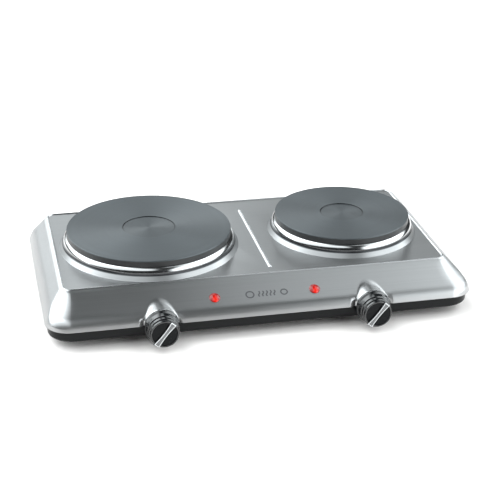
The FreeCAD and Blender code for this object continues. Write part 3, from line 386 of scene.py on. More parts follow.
def stadium(cx, y0, y1, distance, z, steps=14):
    """Loop at a distance round the straight line from y0 to y1."""
    points = []
    for middle_y, first in ((y1, 0), (y0, 180)):
        for k in range(steps + 1):
            angle = math.radians(first + 180 * k / steps)
            points.append(Vector((cx + distance * math.cos(angle),
                                  middle_y + distance * math.sin(angle), z)) * MM)
    return points


def deck_panel(verts, inner, holes, rib):
    """The flat deck between the skirt, the plate holes and the divider rib, and the rib itself."""
    work = bmesh.new()
    z = DECK_Z * MM
    outer_points = [Vector((verts[i].x, verts[i].y, z)) for i in inner]
    edges = add_loop(work, outer_points)[1]
    for cx, cy, radius in holes:
        circle = []
        for k in range(HOLE_STEPS):
            angle = 2 * math.pi * k / HOLE_STEPS
            circle.append(Vector((cx + radius * math.cos(angle), cy + radius * math.sin(angle), DECK_Z)) * MM)
        edges += add_loop(work, circle)[1]
    rib_x, rib_y0, rib_y1 = rib
    half = BEAD_WIDTH / 2
    outline = half + RIB_MARGIN
    y0, y1 = rib_y0 + half, rib_y1 - half
    edges += add_loop(work, stadium(rib_x, y0, y1, outline, DECK_Z))[1]
    bmesh.ops.triangle_fill(work, edges=edges, use_beauty=True)
    rings = [outline] + [half * (1 - k / RIB_STEPS) for k in range(RIB_STEPS + 1)]
    loops = []
    for distance in rings:
        rise = float(bead_rise(np.array(half - distance)))
        loops.append([work.verts.new(p) for p in stadium(rib_x, y0, y1, distance, DECK_Z + rise)])
    for a, b in zip(loops, loops[1:]):
        for k in range(len(a)):
            n = (k + 1) % len(a)
            work.faces.new((a[k], a[n], b[n], b[k]))
    mesh = bpy.data.meshes.new("deck_panel")
    work.to_mesh(mesh)
    work.free()
    return mesh


def tab_mesh(centre):
    """The flat tongue below a boss face."""
    top = LIP_Z + SHEET
    low = KNOB_Z - TAB_DROP
    inner = TAB_HALF_WIDTH - TAB_CORNER
    loop = [(centre - TAB_HALF_WIDTH, top)]
    for cx, first in ((centre - inner, 180), (centre + inner, 270)):
        for k in range(TAB_STEPS + 1):
            angle = math.radians(first + 90 * k / TAB_STEPS)
            loop.append((cx + TAB_CORNER * math.cos(angle), low + TAB_CORNER + TAB_CORNER * math.sin(angle)))
    loop.append((centre + TAB_HALF_WIDTH, top))
    verts = []
    for y in (BOSS_FACE_Y, BOSS_FACE_Y + SHEET):
        verts += [Vector((x, y, z)) * MM for x, z in loop]
    count = len(loop)
    faces = [tuple(range(count)), tuple(range(2 * count - 1, count - 1, -1))]
    for k in range(count):
        n = (k + 1) % count
        faces.append((k, n, count + n, count + k))
    return verts, faces


def plate_facts(size):
    low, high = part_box(size + "_hot_plate")
    centre = (low + high) / 2
    return centre.x, centre.y, high.x - centre.x, high.z


def build_cover(material):
    holes = []
    seats = []
    for size in ("large", "small"):
        x, y, radius = (value / MM for value in plate_facts(size)[:3])
        holes.append((x, y, radius - DECK_HOLE_STEP))
        seats.append((x, y, radius + RING_FOOT))
    verts, faces, inner = cover_skirt((-KNOB_X, KNOB_X), KNOB_Z, seats)
    panel = deck_panel(verts, inner, holes, (DIVIDER_X, DIVIDER_FRONT_Y, DIVIDER_REAR_Y))
    cover = mesh_object("pressed_cover", verts, faces)
    work = bmesh.new()
    work.from_mesh(cover.data)
    work.from_mesh(panel)
    bmesh.ops.remove_doubles(work, verts=work.verts, dist=WELD)
    bmesh.ops.recalc_face_normals(work, faces=work.faces)
    up = [f for f in work.faces if f.calc_center_median().z > (DECK_Z - 0.5) * MM and f.normal.z < 0]
    if len(up) > 100:
        bmesh.ops.reverse_faces(work, faces=work.faces)
    work.to_mesh(cover.data)
    work.free()
    for polygon in cover.data.polygons:
        polygon.use_smooth = True
    solid = cover.modifiers.new("sheet", "SOLIDIFY")
    solid.thickness = SHEET * MM
    solid.offset = -1
    weighted(cover)
    finish_piece(cover, "case", "brushed_cover", material, "top_cover")
    for name, centre in (("left_boss_tab", -KNOB_X), ("right_boss_tab", KNOB_X)):
        tab_verts, tab_faces = tab_mesh(centre)
        tab = mesh_object(name, tab_verts, tab_faces, smooth=False)
        finish_piece(tab, "case", "brushed_cover", material)
    return cover


# ---- materials ----
def new_material(name, **values):
    """A Principled material with its uniform values set on the shader's own sockets."""
    material = bpy.data.materials.new(name)
    material.use_nodes = True
    shader = material.node_tree.nodes["Principled BSDF"]
    for socket, value in values.items():
        shader.inputs[socket.replace("_", " ")].default_value = value
    return material, material.node_tree, shader


def coordinates(tree, scale=(1, 1, 1), centre=(0, 0, 0)):
    """Object coordinates from a centre, scaled per axis."""
    source = tree.nodes.new("ShaderNodeTexCoord")
    moved = tree.nodes.new("ShaderNodeVectorMath")
    moved.operation = "SUBTRACT"
    moved.inputs[1].default_value = centre
    scaled = tree.nodes.new("ShaderNodeVectorMath")
    scaled.operation = "MULTIPLY"
    scaled.inputs[1].default_value = scale
    tree.links.new(source.outputs["Object"], moved.inputs[0])
    tree.links.new(moved.outputs[0], scaled.inputs[0])
    return scaled.outputs[0]


def noise(tree, vector, scale=1.0, detail=3.0, rough=0.5, dimensions="3D"):
    node = tree.nodes.new("ShaderNodeTexNoise")
    node.noise_dimensions = dimensions
    node.inputs["Scale"].default_value = scale
    node.inputs["Detail"].default_value = detail
    node.inputs["Roughness"].default_value = rough
    tree.links.new(vector, node.inputs["W" if dimensions == "1D" else "Vector"])
    return node.outputs["Fac"]


def math_node(tree, operation, a, b=None):
    node = tree.nodes.new("ShaderNodeMath")
    node.operation = operation
    for index, value in enumerate((a, b)):
        if value is None:
            continue
        if isinstance(value, (int, float)):
            node.inputs[index].default_value = value
        else:
            tree.links.new(value, node.inputs[index])
    return node.outputs[0]


def remap(tree, value, low, high, from_low=0.0, from_high=1.0):
    node = tree.nodes.new("ShaderNodeMapRange")
    node.inputs["From Min"].default_value = from_low
    node.inputs["From Max"].default_value = from_high
    node.inputs["To Min"].default_value = low
    node.inputs["To Max"].default_value = high
    tree.links.new(value, node.inputs["Value"])
    return node.outputs["Result"]


def mix_colour(tree, fac, first, second):
    node = tree.nodes.new("ShaderNodeMix")
    node.data_type = "RGBA"
    tree.links.new(fac, node.inputs["Factor"])
    for index, value in ((6, first), (7, second)):
        if isinstance(value, tuple):
            node.inputs[index].default_value = (*value, 1.0)
        else:
            tree.links.new(value, node.inputs[index])
    return node.outputs[2]


def blend(tree, first, share, second, other):
    """first x share + second x other."""
    return math_node(tree, "ADD", math_node(tree, "MULTIPLY", first, share),
                     math_node(tree, "MULTIPLY", second, other))


def paint(tree, shader, fac, low, high, socket="Base Color"):
    tree.links.new(mix_colour(tree, fac, low, high), shader.inputs[socket])


def bump(tree, shader, height, strength, distance):
    node = tree.nodes.new("ShaderNodeBump")
    node.inputs["Strength"].default_value = strength
    node.inputs["Distance"].default_value = distance
    tree.links.new(height, node.inputs["Height"])
    tree.links.new(node.outputs["Normal"], shader.inputs["Normal"])
    return node


def radius_from(tree, centre, axis="Z"):
    """Distance from an axis through centre."""
    flat = tuple(0.0 if letter == axis else 1.0 for letter in "XYZ")
    node = tree.nodes.new("ShaderNodeVectorMath")
    node.operation = "LENGTH"
    tree.links.new(coordinates(tree, flat, centre), node.inputs[0])
    return node.outputs["Value"]


def brushed_steel_material():
    """Stainless sheet with its grain along the width. The crowns of the bead and the divider rib carry a
    painted highlight: a lighter steel colour, and a little less roughness.
    """
    material, tree, shader = new_material("brushed_stainless", Metallic=1.0, Anisotropic=0.8)
    fine = noise(tree, coordinates(tree, (5.0, 1500.0, 1500.0)), 1.0, 2.0, 0.6)
    broad = noise(tree, coordinates(tree, (3.0, 260.0, 260.0)), 1.0, 2.0, 0.5)
    smudge = noise(tree, coordinates(tree, (9.0, 13.0, 13.0)), 1.0, 3.0, 0.5)
    grain = blend(tree, fine, 0.6, broad, 0.4)
    height = tree.nodes.new("ShaderNodeSeparateXYZ")
    tree.links.new(coordinates(tree), height.inputs[0])
    # Painted highlight: above the deck, the crowns of the bead and the divider rib are painted a lighter
    # steel and made a little smoother.
    painted_highlight_crown = remap(tree, height.outputs["Z"], 0.0, 1.0, (DECK_Z + 0.10) * MM, (DECK_Z + 0.90) * MM)
    sheet = mix_colour(tree, grain, (0.34, 0.345, 0.35), (0.46, 0.465, 0.47))
    paint(tree, shader, painted_highlight_crown, sheet, (0.66, 0.67, 0.68))
    rough = math_node(tree, "ADD", remap(tree, grain, 0.24, 0.36), remap(tree, smudge, -0.03, 0.04))
    rough = math_node(tree, "SUBTRACT", rough, math_node(tree, "MULTIPLY", painted_highlight_crown, 0.10))
    tree.links.new(rough, shader.inputs["Roughness"])
    bump(tree, shader, grain, 0.12, 0.0001)
    across = tree.nodes.new("ShaderNodeCombineXYZ")
    across.inputs[0].default_value = 0.0
    across.inputs[1].default_value = 1.0
    across.inputs[2].default_value = -0.15
    tree.links.new(across.outputs[0], shader.inputs["Tangent"])
    return material


def radial_tangent(tree, shader):
    node = tree.nodes.new("ShaderNodeTangent")
    node.direction_type = "RADIAL"
    node.axis = "Z"
    tree.links.new(node.outputs[0], shader.inputs["Tangent"])


def hot_plate_material(name, centre, top, recess):
    """Turned cast iron under a heat-proof coat: satin blue-grey on top, black on the rim, with a thin line of
    painted shade round the inner corner of the centre recess.
    """
    material, tree, shader = new_material(name, Anisotropic=0.7, Anisotropic_Rotation=0.25)
    distance = radius_from(tree, centre)
    marks = noise(tree, math_node(tree, "MULTIPLY", distance, 1100.0), 1.0, 3.0, 0.7, "1D")
    bands = noise(tree, math_node(tree, "MULTIPLY", distance, 160.0), 1.0, 2.0, 0.6, "1D")
    mottle = noise(tree, coordinates(tree, (28.0,) * 3), 1.0, 4.0, 0.6)
    tone = blend(tree, bands, 0.5, mottle, 0.5)
    height = tree.nodes.new("ShaderNodeSeparateXYZ")
    tree.links.new(coordinates(tree), height.inputs[0])
    face = remap(tree, height.outputs["Z"], 0.0, 1.0, top - 0.0011, top - 0.0007)
    colour = mix_colour(tree, tone, (0.055, 0.064, 0.069), (0.098, 0.110, 0.118))
    # Painted shade: a thin black line, in the rim's black, round the inner corner of the centre recess.
    shade_line_distance = math_node(tree, "ABSOLUTE", math_node(tree, "SUBTRACT", distance, recess - 0.0003))
    top_outside_shade_line = math_node(tree, "MULTIPLY", face, remap(tree, shade_line_distance, 0.0, 1.0, 0.0003, 0.0007))
    paint(tree, shader, top_outside_shade_line, (0.012, 0.013, 0.014), colour)
    tree.links.new(math_node(tree, "MULTIPLY", face, 0.6), shader.inputs["Metallic"])
    tree.links.new(remap(tree, tone, 0.34, 0.46), shader.inputs["Roughness"])
    bump(tree, shader, marks, 0.25, 0.00008)
    radial_tangent(tree, shader)
    return material


def bright_steel_material(name, centre, crease):
    """Bright stainless, polished above the crease and satin on the foot, with marks round it and a thin line
    of painted shade along the crease.
    """
    material, tree, shader = new_material(name, Metallic=1.0, Anisotropic=0.3,
                                          Anisotropic_Rotation=0.25)
    distance = radius_from(tree, centre)
    marks = noise(tree, math_node(tree, "MULTIPLY", distance, 2200.0), 1.0, 2.0, 0.6, "1D")
    haze = noise(tree, coordinates(tree, (40.0,) * 3), 1.0, 3.0, 0.6)
    band = mix_colour(tree, marks, (0.46, 0.465, 0.47), (0.56, 0.565, 0.57))
    foot = remap(tree, distance, 0.0, 1.0, crease - 0.0002, crease + 0.0008)
    satin = mix_colour(tree, marks, (0.30, 0.305, 0.31), (0.38, 0.385, 0.39))
    # Painted shade: a dark line along the crease between the polished band and the foot.
    crease_shade_line = remap(tree, math_node(tree, "ABSOLUTE", math_node(tree, "SUBTRACT", distance, crease + 0.0002)),
                   0.0, 1.0, 0.0003, 0.0010)
    metal = mix_colour(tree, foot, band, satin)
    paint(tree, shader, crease_shade_line, (0.05, 0.052, 0.055), metal)
    rough = math_node(tree, "ADD", remap(tree, haze, 0.10, 0.18), math_node(tree, "MULTIPLY", foot, 0.24))
    tree.links.new(rough, shader.inputs["Roughness"])
    bump(tree, shader, marks, 0.05, 0.00005)
    radial_tangent(tree, shader)
    return material


def black_plastic_material(name, specular, rough):
    """Black moulded plastic with faint handling marks."""
    material, tree, shader = new_material(name, Metallic=0.0, Specular_IOR_Level=specular)
    haze = noise(tree, coordinates(tree, (160.0,) * 3), 1.0, 4.0, 0.6)
    scuff = noise(tree, coordinates(tree, (900.0,) * 3), 1.0, 2.0, 0.6)
    paint(tree, shader, haze, (0.003, 0.0035, 0.004), (0.006, 0.007, 0.008))
    tree.links.new(remap(tree, haze, rough, rough + 0.09), shader.inputs["Roughness"])
    bump(tree, shader, scuff, 0.03, 0.0001)
    return material


def enamel_material():
    """Black stove enamel on the base pan, with a slight orange-peel surface."""
    material, tree, shader = new_material("black_enamel", Metallic=0.0, Specular_IOR_Level=0.16)
    peel = noise(tree, coordinates(tree, (420.0,) * 3), 1.0, 2.0, 0.5)
    broad = noise(tree, coordinates(tree, (14.0,) * 3), 1.0, 3.0, 0.5)
    paint(tree, shader, broad, (0.004, 0.0045, 0.005), (0.008, 0.009, 0.0095))
    tree.links.new(remap(tree, broad, 0.26, 0.38), shader.inputs["Roughness"])
    bump(tree, shader, peel, 0.12, 0.0002)
    return material


def brushed_metal_small(name, low, high, rough, grain_scale, metallic=1.0):
    """Small metal parts: a fine directional grain over a base tone."""
    material, tree, shader = new_material(name, Metallic=metallic)
    grain = noise(tree, coordinates(tree, grain_scale), 1.0, 3.0, 0.6)
    paint(tree, shader, grain, low, high)
    tree.links.new(remap(tree, grain, rough - 0.06, rough + 0.08), shader.inputs["Roughness"])
    bump(tree, shader, grain, 0.15, 0.0001)
    return material


def moulded_material(name, low, high, rough, grain_scale, strength=0.15):
    """Rubber, ceramic and matt plastic: a fine grainy surface."""
    material, tree, shader = new_material(name, Metallic=0.0)
    grain = noise(tree, coordinates(tree, (grain_scale,) * 3), 1.0, 4.0, 0.6)
    paint(tree, shader, grain, low, high)
    tree.links.new(remap(tree, grain, rough - 0.06, rough + 0.06), shader.inputs["Roughness"])
    bump(tree, shader, grain, strength, 0.0002)
    return material


def lens_material(centre):
    """Clear red plastic: brighter towards the middle, where the lamp sits."""
    material, tree, shader = new_material("red_lens", Metallic=0.0, IOR=1.49)
    distance = math_node(tree, "MULTIPLY", radius_from(tree, centre, "Y"), 1000.0)
    speckle = noise(tree, coordinates(tree, (500.0,) * 3), 1.0, 2.0, 0.5)
    middle = remap(tree, math_node(tree, "ADD", distance, math_node(tree, "MULTIPLY", speckle, 1.2)),
                   1.0, 0.0, 1.2, 4.6)
    paint(tree, shader, middle, (0.16, 0.002, 0.002), (0.62, 0.012, 0.006))
    paint(tree, shader, middle, (0.20, 0.0, 0.0), (1.0, 0.03, 0.01), "Emission Color")
    shader.inputs["Emission Strength"].default_value = 0.35
    tree.links.new(remap(tree, speckle, 0.08, 0.18), shader.inputs["Roughness"])
    return material


# ---- camera, light and floor ----
def aim_camera():
    """The camera stands in front, to the left and above, and looks down at the hot plate."""
    yaw, pitch, roll = (math.radians(angle) for angle in (CAMERA_YAW, CAMERA_PITCH, CAMERA_ROLL))
    ahead = Vector((math.sin(yaw) * math.cos(pitch), math.cos(yaw) * math.cos(pitch), -math.sin(pitch)))
    right = Vector((math.cos(yaw), -math.sin(yaw), 0.0))
    up = right.cross(ahead)
    right, up = (right * math.cos(roll) + up * math.sin(roll),
                 up * math.cos(roll) - right * math.sin(roll))
    data = bpy.data.cameras.new("camera")
    data.sensor_width = SENSOR_WIDTH
    data.lens = CAMERA_LENS
    camera = bpy.data.objects.new("camera", data)
    rotation = Matrix((right, up, -ahead)).transposed()
    camera.matrix_world = Matrix.Translation(CAMERA_PLACE) @ rotation.to_4x4()
    bpy.context.scene.collection.objects.link(camera)
    bpy.context.scene.camera = camera


def soft_window(tree, value, start, end, edge):
    """One between start and end, falling smoothly to nothing over the edge's width."""
    sides = []
    for limit, low, high in ((start, 0.0, 1.0), (end, 1.0, 0.0)):
        ramp = tree.nodes.new("ShaderNodeMapRange")
        ramp.interpolation_type = "SMOOTHSTEP"
        ramp.inputs["From Min"].default_value = limit - edge
        ramp.inputs["From Max"].default_value = limit + edge
        ramp.inputs["To Min"].default_value = low
        ramp.inputs["To Max"].default_value = high
        tree.links.new(value, ramp.inputs["Value"])
        sides.append(ramp.outputs["Result"])
    return math_node(tree, "MULTIPLY", *sides)


def studio_world():
    """A dark studio with soft boxes round the table. Each box is a stretch across the width, as
    the sideways part of a direction, and a stretch of the arc from the rear horizon over the top."""
    world = bpy.data.worlds.new("studio")
    bpy.context.scene.world = world
    world.use_nodes = True
    tree = world.node_tree
    coord = tree.nodes.new("ShaderNodeTexCoord")
    split = tree.nodes.new("ShaderNodeSeparateXYZ")
    tree.links.new(coord.outputs["Generated"], split.inputs[0])
    across, depth, height = split.outputs
    arc = math_node(tree, "MULTIPLY", math_node(tree, "ARCTAN2", height, depth), 180 / math.pi)
    total = math_node(tree, "ADD", 0.0, STUDIO_GLOW)
    for x0, x1, x_edge, arc0, arc1, arc_edge, level in SOFT_BOXES:
        window = math_node(tree, "MULTIPLY", soft_window(tree, across, x0, x1, x_edge),
                           soft_window(tree, arc, arc0, arc1, arc_edge))
        total = math_node(tree, "ADD", total, math_node(tree, "MULTIPLY", window, level))
    background = tree.nodes["Background"]
    tree.links.new(total, background.inputs["Strength"])
    background.inputs["Color"].default_value = (0.945, 1.0, 1.015, 1.0)


STUDIO_GLOW = 0.05
# across from, to, edge; arc from, to, edge in degrees; brightness
SOFT_BOXES = (
    (-0.02, 0.17, 0.06, 18, 42, 7, 2.0),      # rear strip, for the deck's left and middle
    (0.15, 0.26, 0.05, 10, 24, 6, 1.8),        # low rear card, for the middle
    (0.26, 0.36, 0.05, 0, 18, 6, 2.1),        # its weaker end
    (0.38, 0.56, 0.05, -3, 9, 3, 1.6),        # low lamp behind on the right
    (-0.52, -0.32, 0.05, 6, 24, 5, 1.2),      # low lamp behind on the left
    (-1.1, -0.16, 0.16, 20, 95, 10, 4.4),     # large box on the left
    (0.17, 0.44, 0.04, 48, 95, 12, 1.0),      # glow over the middle, for the fascia
    (0.44, 1.1, 0.16, 48, 95, 12, 4.6),       # large box on the right
    (-1.1, 0.0, 0.10, 100, 138, 8, 1.9),      # high front box, left of the camera
    (0.38, 1.1, 0.10, 100, 138, 8, 2.2),      # high front box, right of the camera
    (0.34, 1.1, 0.10, 140, 188, 8, 4.2),      # front box on the right
)


def floor():
    half = 4.0
    piece = mesh_object("floor", [(-half, -half, 0), (half, -half, 0), (half, half, 0), (-half, half, 0)],
                        [(0, 1, 2, 3)], smooth=False)
    material, tree, shader = new_material("pale_floor", Roughness=0.9)
    tone = noise(tree, coordinates(tree, (2.0,) * 3), 1.0, 2.0, 0.5)
    paint(tree, shader, tone, (0.95, 0.905, 0.885), (0.97, 0.92, 0.90))
    piece.data.materials.append(material)


# ---- turned pieces of the object ----
def build_plate(size, material):
    x, y, radius, top = plate_facts(size)
    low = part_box(size + "_hot_plate")[0]
    recess = 0.32 * radius
    mm = MM
    under = top - RIM_HEIGHT * mm
    profile = rounded([(0, top - 0.8 * mm, 0), (recess - 0.2 * mm, top - 0.8 * mm, 0.15 * mm),
                       (recess, top, 0.55 * mm), (radius, top, 0.9 * mm), (radius, under, 0.5 * mm),
                       (radius - 2.5 * mm, under, 0.2 * mm), (radius - 2.5 * mm, low.z, 0.4 * mm),
                       (radius - 9 * mm, low.z, 0.2 * mm), (radius - 9 * mm, top - 8.8 * mm, 0),
                       (0, top - 8.8 * mm, 0)])
    piece = lathe(size + "_cast_plate", profile, 256, Matrix.Translation((x, y, 0)))
    weighted(piece)
    return finish_piece(piece, "case", "plate_iron", material, size + "_hot_plate")


def build_ring(size, material):
    low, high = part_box(size + "_spill_ring")
    centre = (low + high) / 2
    plate_r = plate_facts(size)[2]
    mm = MM

    def at(out, down, fillet=0.0):
        return (plate_r + out * mm, high.z - down * mm, fillet * mm)

    foot = (high.z - low.z) / mm
    quarter = [math.radians(angle) for angle in range(0, 91, 9)]
    arc_out = [at(-1.1 + 5.5 * math.sin(a), 7.3 * (1 - math.cos(a))) for a in quarter]
    arc_in = [at(-1.2 + 4.9 * math.sin(a), 0.7 + 6.8 * (1 - math.cos(a))) for a in reversed(quarter)]
    flare_out = [at(4.5, 7.8), at(5.3, 8.5), at(7.2, 11.2), at(8.4, foot - 0.6), at(RING_FOOT, foot - 0.1)]
    flare_in = [at(RING_FOOT, foot), at(8.0, foot), at(6.6, 11.6), at(4.7, 9.0), at(3.8, 8.2)]
    profile = [at(-2.4, 0)] + arc_out + flare_out + flare_in + arc_in
    profile += [at(-1.7, 0.7), at(-1.7, 6.0), at(-2.4, 6.0)]
    profile = [Vector(p[:2]) for p in profile]
    piece = lathe(size + "_drip_ring", profile, 256, Matrix.Translation((centre.x, centre.y, 0)), closed=True)
    weighted(piece)
    return finish_piece(piece, "case", "bright_ring", material, size + "_spill_ring")


def knob_place(side):
    """Local Z runs out of the knob's face, and local X to the right."""
    x = (KNOB_X if side == "right" else -KNOB_X) * MM
    turn = Matrix(((1, 0, 0), (0, 0, -1), (0, 1, 0))).to_4x4()
    return Matrix.Translation((x, BOSS_FACE_Y * MM, KNOB_Z * MM)) @ turn


def waisted_outline(half_length, waist, end, steps=12):
    """Outline of the pointer bar, its long sides drawn in at the middle."""
    points = []
    for sign in (-1, 1):
        for k in range(steps + 1):
            t = -1 + 2 * k / steps
            points.append((sign * -1 * t * half_length, sign * (waist + (end - waist) * t * t)))
    return points


def prism(name, outline, low, high, place, bevel):
    """An outline raised from low to high with its edges rounded."""
    count = len(outline)
    verts = [place @ Vector((x, y, h)) for h in (low, high) for x, y in outline]
    faces = [tuple(range(count)), tuple(range(2 * count - 1, count - 1, -1))]
    for k in range(count):
        n = (k + 1) % count
        faces.append((k, n, count + n, count + k))
    piece = mesh_object(name, verts, faces)
    modifier = piece.modifiers.new("edges", "BEVEL")
    modifier.width = bevel
    modifier.segments = 3
    modifier.limit_method = "ANGLE"
    modifier.angle_limit = math.radians(40)
    return weighted(piece)


BAR_ANGLE = math.radians(52.0)

# ---- printed mark on the fascia, in millimetres from its centre ----
MARK_X = 2.0
MARK_RINGS = ((-18.5, 4.2), (18.9, 3.5))
MARK_WAVES = (-8.4, -4.2, 0.0, 4.2, 8.4)
MARK_HALF_HEIGHT = 3.6
MARK_LINE = 1.5
MARK_STEPS = 40
MARK_SINK = -0.25
MARK_PROUD = 0.12


def build_knob(side, body_material, face_material, strip_material, dark_reflection_material):
    mm = MM
    place = knob_place(side)
    front = 22.6
    points = [(0, front, 0), (13.2, front, 0.25), (13.5, front + 0.9, 0.3), (15.0, front + 0.8, 0.7),
              (15.4, front - 1.8, 0.3), (14.8, front - 2.3, 0.25), (14.8, front - 3.0, 0.25),
              (16.1, front - 3.5, 0.5), (16.3, front - 6.6, 0.4), (15.7, front - 7.1, 0.25),
              (15.7, front - 7.9, 0.25), (16.9, front - 8.5, 0.6), (17.0, front - 11.4, 1.0),
              (17.3, front - 14.5, 2.0), (18.8, front - 16.8, 0.8), (18.8, 3.1, 0.4), (17.2, 3.1, 0.2),
              (15.0, front - 14.5, 0.4), (13.4, front - 3.4, 0.4), (6.0, front - 3.4, 0.3), (6.0, 6.2, 0.2),
              (3.0, 6.2, 0.1), (3.0, 18.5, 0), (0, 18.5, 0)]
    profile = rounded([(r * mm, h * mm, f * mm) for r, h, f in points])
    knob = lathe(side + "_knob_body", profile, 144, place)
    disc = [(0, front), (12.9, front), (13.1, front + 0.05), (13.1, front + 0.15),
            (12.8, front + 0.25), (0, front + 0.25)]
    face = lathe(side + "_knob_face", [Vector((r * mm, h * mm)) for r, h in disc], 96, place)
    weighted(face)
    finish_piece(face, side + "_knob", "knob_gloss", face_material)
    weighted(knob)
    finish_piece(knob, side + "_knob", "knob_gloss", body_material, side + "_knob")
    turned = place @ Matrix.Rotation(BAR_ANGLE, 4, "Z")
    bar = prism(side + "_knob_grip", waisted_outline(15.5 * mm, 2.5 * mm, 3.6 * mm),
                (front - 0.4) * mm, 24.6 * mm, turned, 0.35 * mm)
    finish_piece(bar, side + "_knob", "knob_gloss", body_material)
    # Painted reflection: a dark metal bar over the middle of the silver strip stands in for the dark
    # reflection on the pointer's face, so the silver shows only as a thin border.
    dark_reflection_bar = prism(side + "_knob_dark_reflection", waisted_outline(14.2 * mm, 1.3 * mm, 2.3 * mm),
                  24.9 * mm, 25.08 * mm, turned, 0.05 * mm)
    finish_piece(dark_reflection_bar, side + "_knob", "pointer_metal", dark_reflection_material)
    strip = prism(side + "_knob_strip", waisted_outline(15.0 * mm, 2.1 * mm, 3.2 * mm),
                  24.5 * mm, 25.0 * mm, turned, 0.15 * mm)
    finish_piece(strip, side + "_knob", "pointer_metal", strip_material, side + "_pointer_strip")


def lamp_place(side):
    low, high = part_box(side + "_lamp_lens")
    x = (low.x + high.x) / 2
    down = FRONT_SLOPE * 0.612
    y = (FRONT_Y + FRONT_SLOPE - down) * MM
    z = (DECK_Z - down * math.tan(FASCIA_ANGLE)) * MM
    return Matrix.Translation((x, y, z)) @ Matrix.Rotation(FASCIA_ANGLE, 4, "X")


def build_lens(side, material):
    """Domed lens: a smooth rim, and a cut pattern of facets over the lamp."""
    mm = MM
    place = lamp_place(side)
    profile = rounded([(4.6 * mm, -9 * mm, 0), (4.6 * mm, 0, 0), (6.0 * mm, 0, 0.1 * mm),
                       (6.0 * mm, 0.7 * mm, 0.3 * mm), (5.2 * mm, 1.35 * mm, 0.3 * mm)], 4)
    profile += [Vector((4.3 * mm, 1.9 * mm)), Vector((2.6 * mm, 2.55 * mm)), Vector((0, 2.85 * mm))]
    lens = lathe(side + "_lamp_dome", profile, 24, place)
    for polygon in lens.data.polygons:
        local = place.inverted() @ polygon.center
        polygon.use_smooth = math.hypot(local.x, local.y) > 4.4 * mm
    return finish_piece(lens, "case", "lamp_red", material, side + "_lamp_lens")


def ribbon(points, half_width):
    """Left and right borders of a line of even width drawn through plan points."""
    left, right = [], []
    for k, point in enumerate(points):
        before, after = points[max(k - 1, 0)], points[min(k + 1, len(points) - 1)]
        along = (Vector(after) - Vector(before)).normalized()
        normal = Vector((-along.y, along.x)) * half_width
        left.append(Vector(point) + normal)
        right.append(Vector(point) - normal)
    return left, right


def build_pictogram(material):
    """Printed mark between the lamps: two plates in outline with rising heat between them."""
    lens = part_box("left_lamp_lens")
    middle = MARK_X * MM - (lens[0].x + lens[1].x) / 2
    place = Matrix.Translation((middle, 0, 0)) @ lamp_place("left")
    lines = []
    for x, radius in MARK_RINGS:
        turn = [math.tau * k / MARK_STEPS for k in range(MARK_STEPS + 1)]
        lines.append([(x + radius * math.cos(a), radius * math.sin(a)) for a in turn])
    for x in MARK_WAVES:
        rise = [-1 + 2 * k / MARK_STEPS for k in range(MARK_STEPS + 1)]
        lines.append([(x + 0.9 * math.sin(t * math.pi), t * MARK_HALF_HEIGHT) for t in rise])
    verts, faces = [], []
    for line in lines:
        left, right = ribbon(line, MARK_LINE / 2)
        start = len(verts)
        for height in (MARK_SINK, MARK_PROUD):
            for border in (left, right):
                verts += [place @ Vector((v.x * MM, v.y * MM, height * MM)) for v in border]
        count = len(line)
        corners = [start + row * count for row in (2, 3, 1, 0)]
        for k in range(count - 1):
            for side in range(4):
                a, b = corners[side], corners[(side + 1) % 4]
                faces.append((a + k, b + k, b + k + 1, a + k + 1))
        for k in (0, count - 1):
            faces.append(tuple(corner + k for corner in corners))
    mark = mesh_object("fascia_mark", verts, faces, smooth=False)
    return finish_piece(mark, "case", "brushed_cover", material)


aim_camera()
studio_world()
floor()
steel = brushed_steel_material()
build_cover(steel)
enamel = enamel_material()
gloss_black = black_plastic_material("gloss_black_plastic", 0.75, 0.06)
face_black = black_plastic_material("satin_black_face", 0.12, 0.22)
strip_metal = brushed_metal_small("satin_strip", (0.55, 0.57, 0.58), (0.72, 0.74, 0.75), 0.28, (900.0,) * 3)
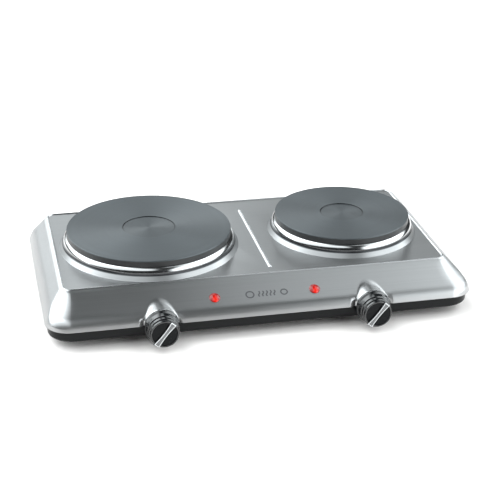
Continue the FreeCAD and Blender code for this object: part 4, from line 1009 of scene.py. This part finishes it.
# Dark metal for the middle of the pointer bars: a painted dark reflection on their silver face.
painted_dark_reflection = brushed_metal_small("painted_dark_reflection", (0.10, 0.105, 0.11), (0.20, 0.205, 0.21), 0.2, (900.0,) * 3)
zinc = brushed_metal_small("zinc_plated", (0.45, 0.46, 0.48), (0.62, 0.63, 0.66), 0.35, (300.0,) * 3)
brass = brushed_metal_small("plain_brass", (0.62, 0.45, 0.18), (0.80, 0.62, 0.30), 0.3, (400.0,) * 3)
wire = brushed_metal_small("heating_wire", (0.16, 0.13, 0.12), (0.30, 0.26, 0.24), 0.5, (600.0,) * 3)
bronze = brushed_metal_small("spring_bronze", (0.55, 0.33, 0.18), (0.72, 0.46, 0.26), 0.3, (500.0,) * 3)
rubber = moulded_material("black_rubber", (0.016, 0.016, 0.016), (0.035, 0.035, 0.035), 0.8, 700.0, 0.3)
ceramic = moulded_material("steatite", (0.70, 0.68, 0.62), (0.84, 0.82, 0.77), 0.6, 500.0)
block = moulded_material("terminal_plastic", (0.66, 0.65, 0.60), (0.78, 0.77, 0.72), 0.5, 350.0)
jacket = moulded_material("silicone_jacket", (0.42, 0.07, 0.04), (0.60, 0.13, 0.08), 0.55, 300.0)
lamp_glass = moulded_material("neon_sleeve", (0.70, 0.62, 0.55), (0.85, 0.80, 0.74), 0.25, 200.0, 0.05)
for size in ("large", "small"):
    px, py, radius, ptop = plate_facts(size)
    build_plate(size, hot_plate_material(size + "_cast_iron", (px, py, 0), ptop, 0.32 * radius))
    build_ring(size, bright_steel_material(size + "_bright_steel", (px, py, 0), radius + 0.0044))
build_pictogram(moulded_material("printed_grey", (0.03, 0.03, 0.035), (0.06, 0.06, 0.065), 0.5, 900.0, 0.02))
for side in ("left", "right"):
    build_knob(side, gloss_black, face_black, strip_metal, painted_dark_reflection)
    lens_centre = lamp_place(side).translation
    build_lens(side, lens_material(tuple(lens_centre)))

by_slot = {"black_pan": enamel, "zinc_steel": zinc, "brass_terminal": brass, "element_wire": wire,
           "spring_leaf": bronze, "foot_rubber": rubber, "white_ceramic": ceramic, "block_plastic": block,
           "wire_jacket": jacket, "lamp_glass": lamp_glass, "brushed_cover": steel, "knob_gloss": gloss_black,
           "pointer_metal": strip_metal, "plate_iron": enamel, "bright_ring": zinc, "lamp_red": rubber}
for row in frame["record"]["subparts"]:
    node = frame["nodes"][row["node"]]
    node.data.materials.clear()
    node.data.materials.append(by_slot[row["material_slot"]])

bpy.context.scene.view_settings.view_transform = "Standard"
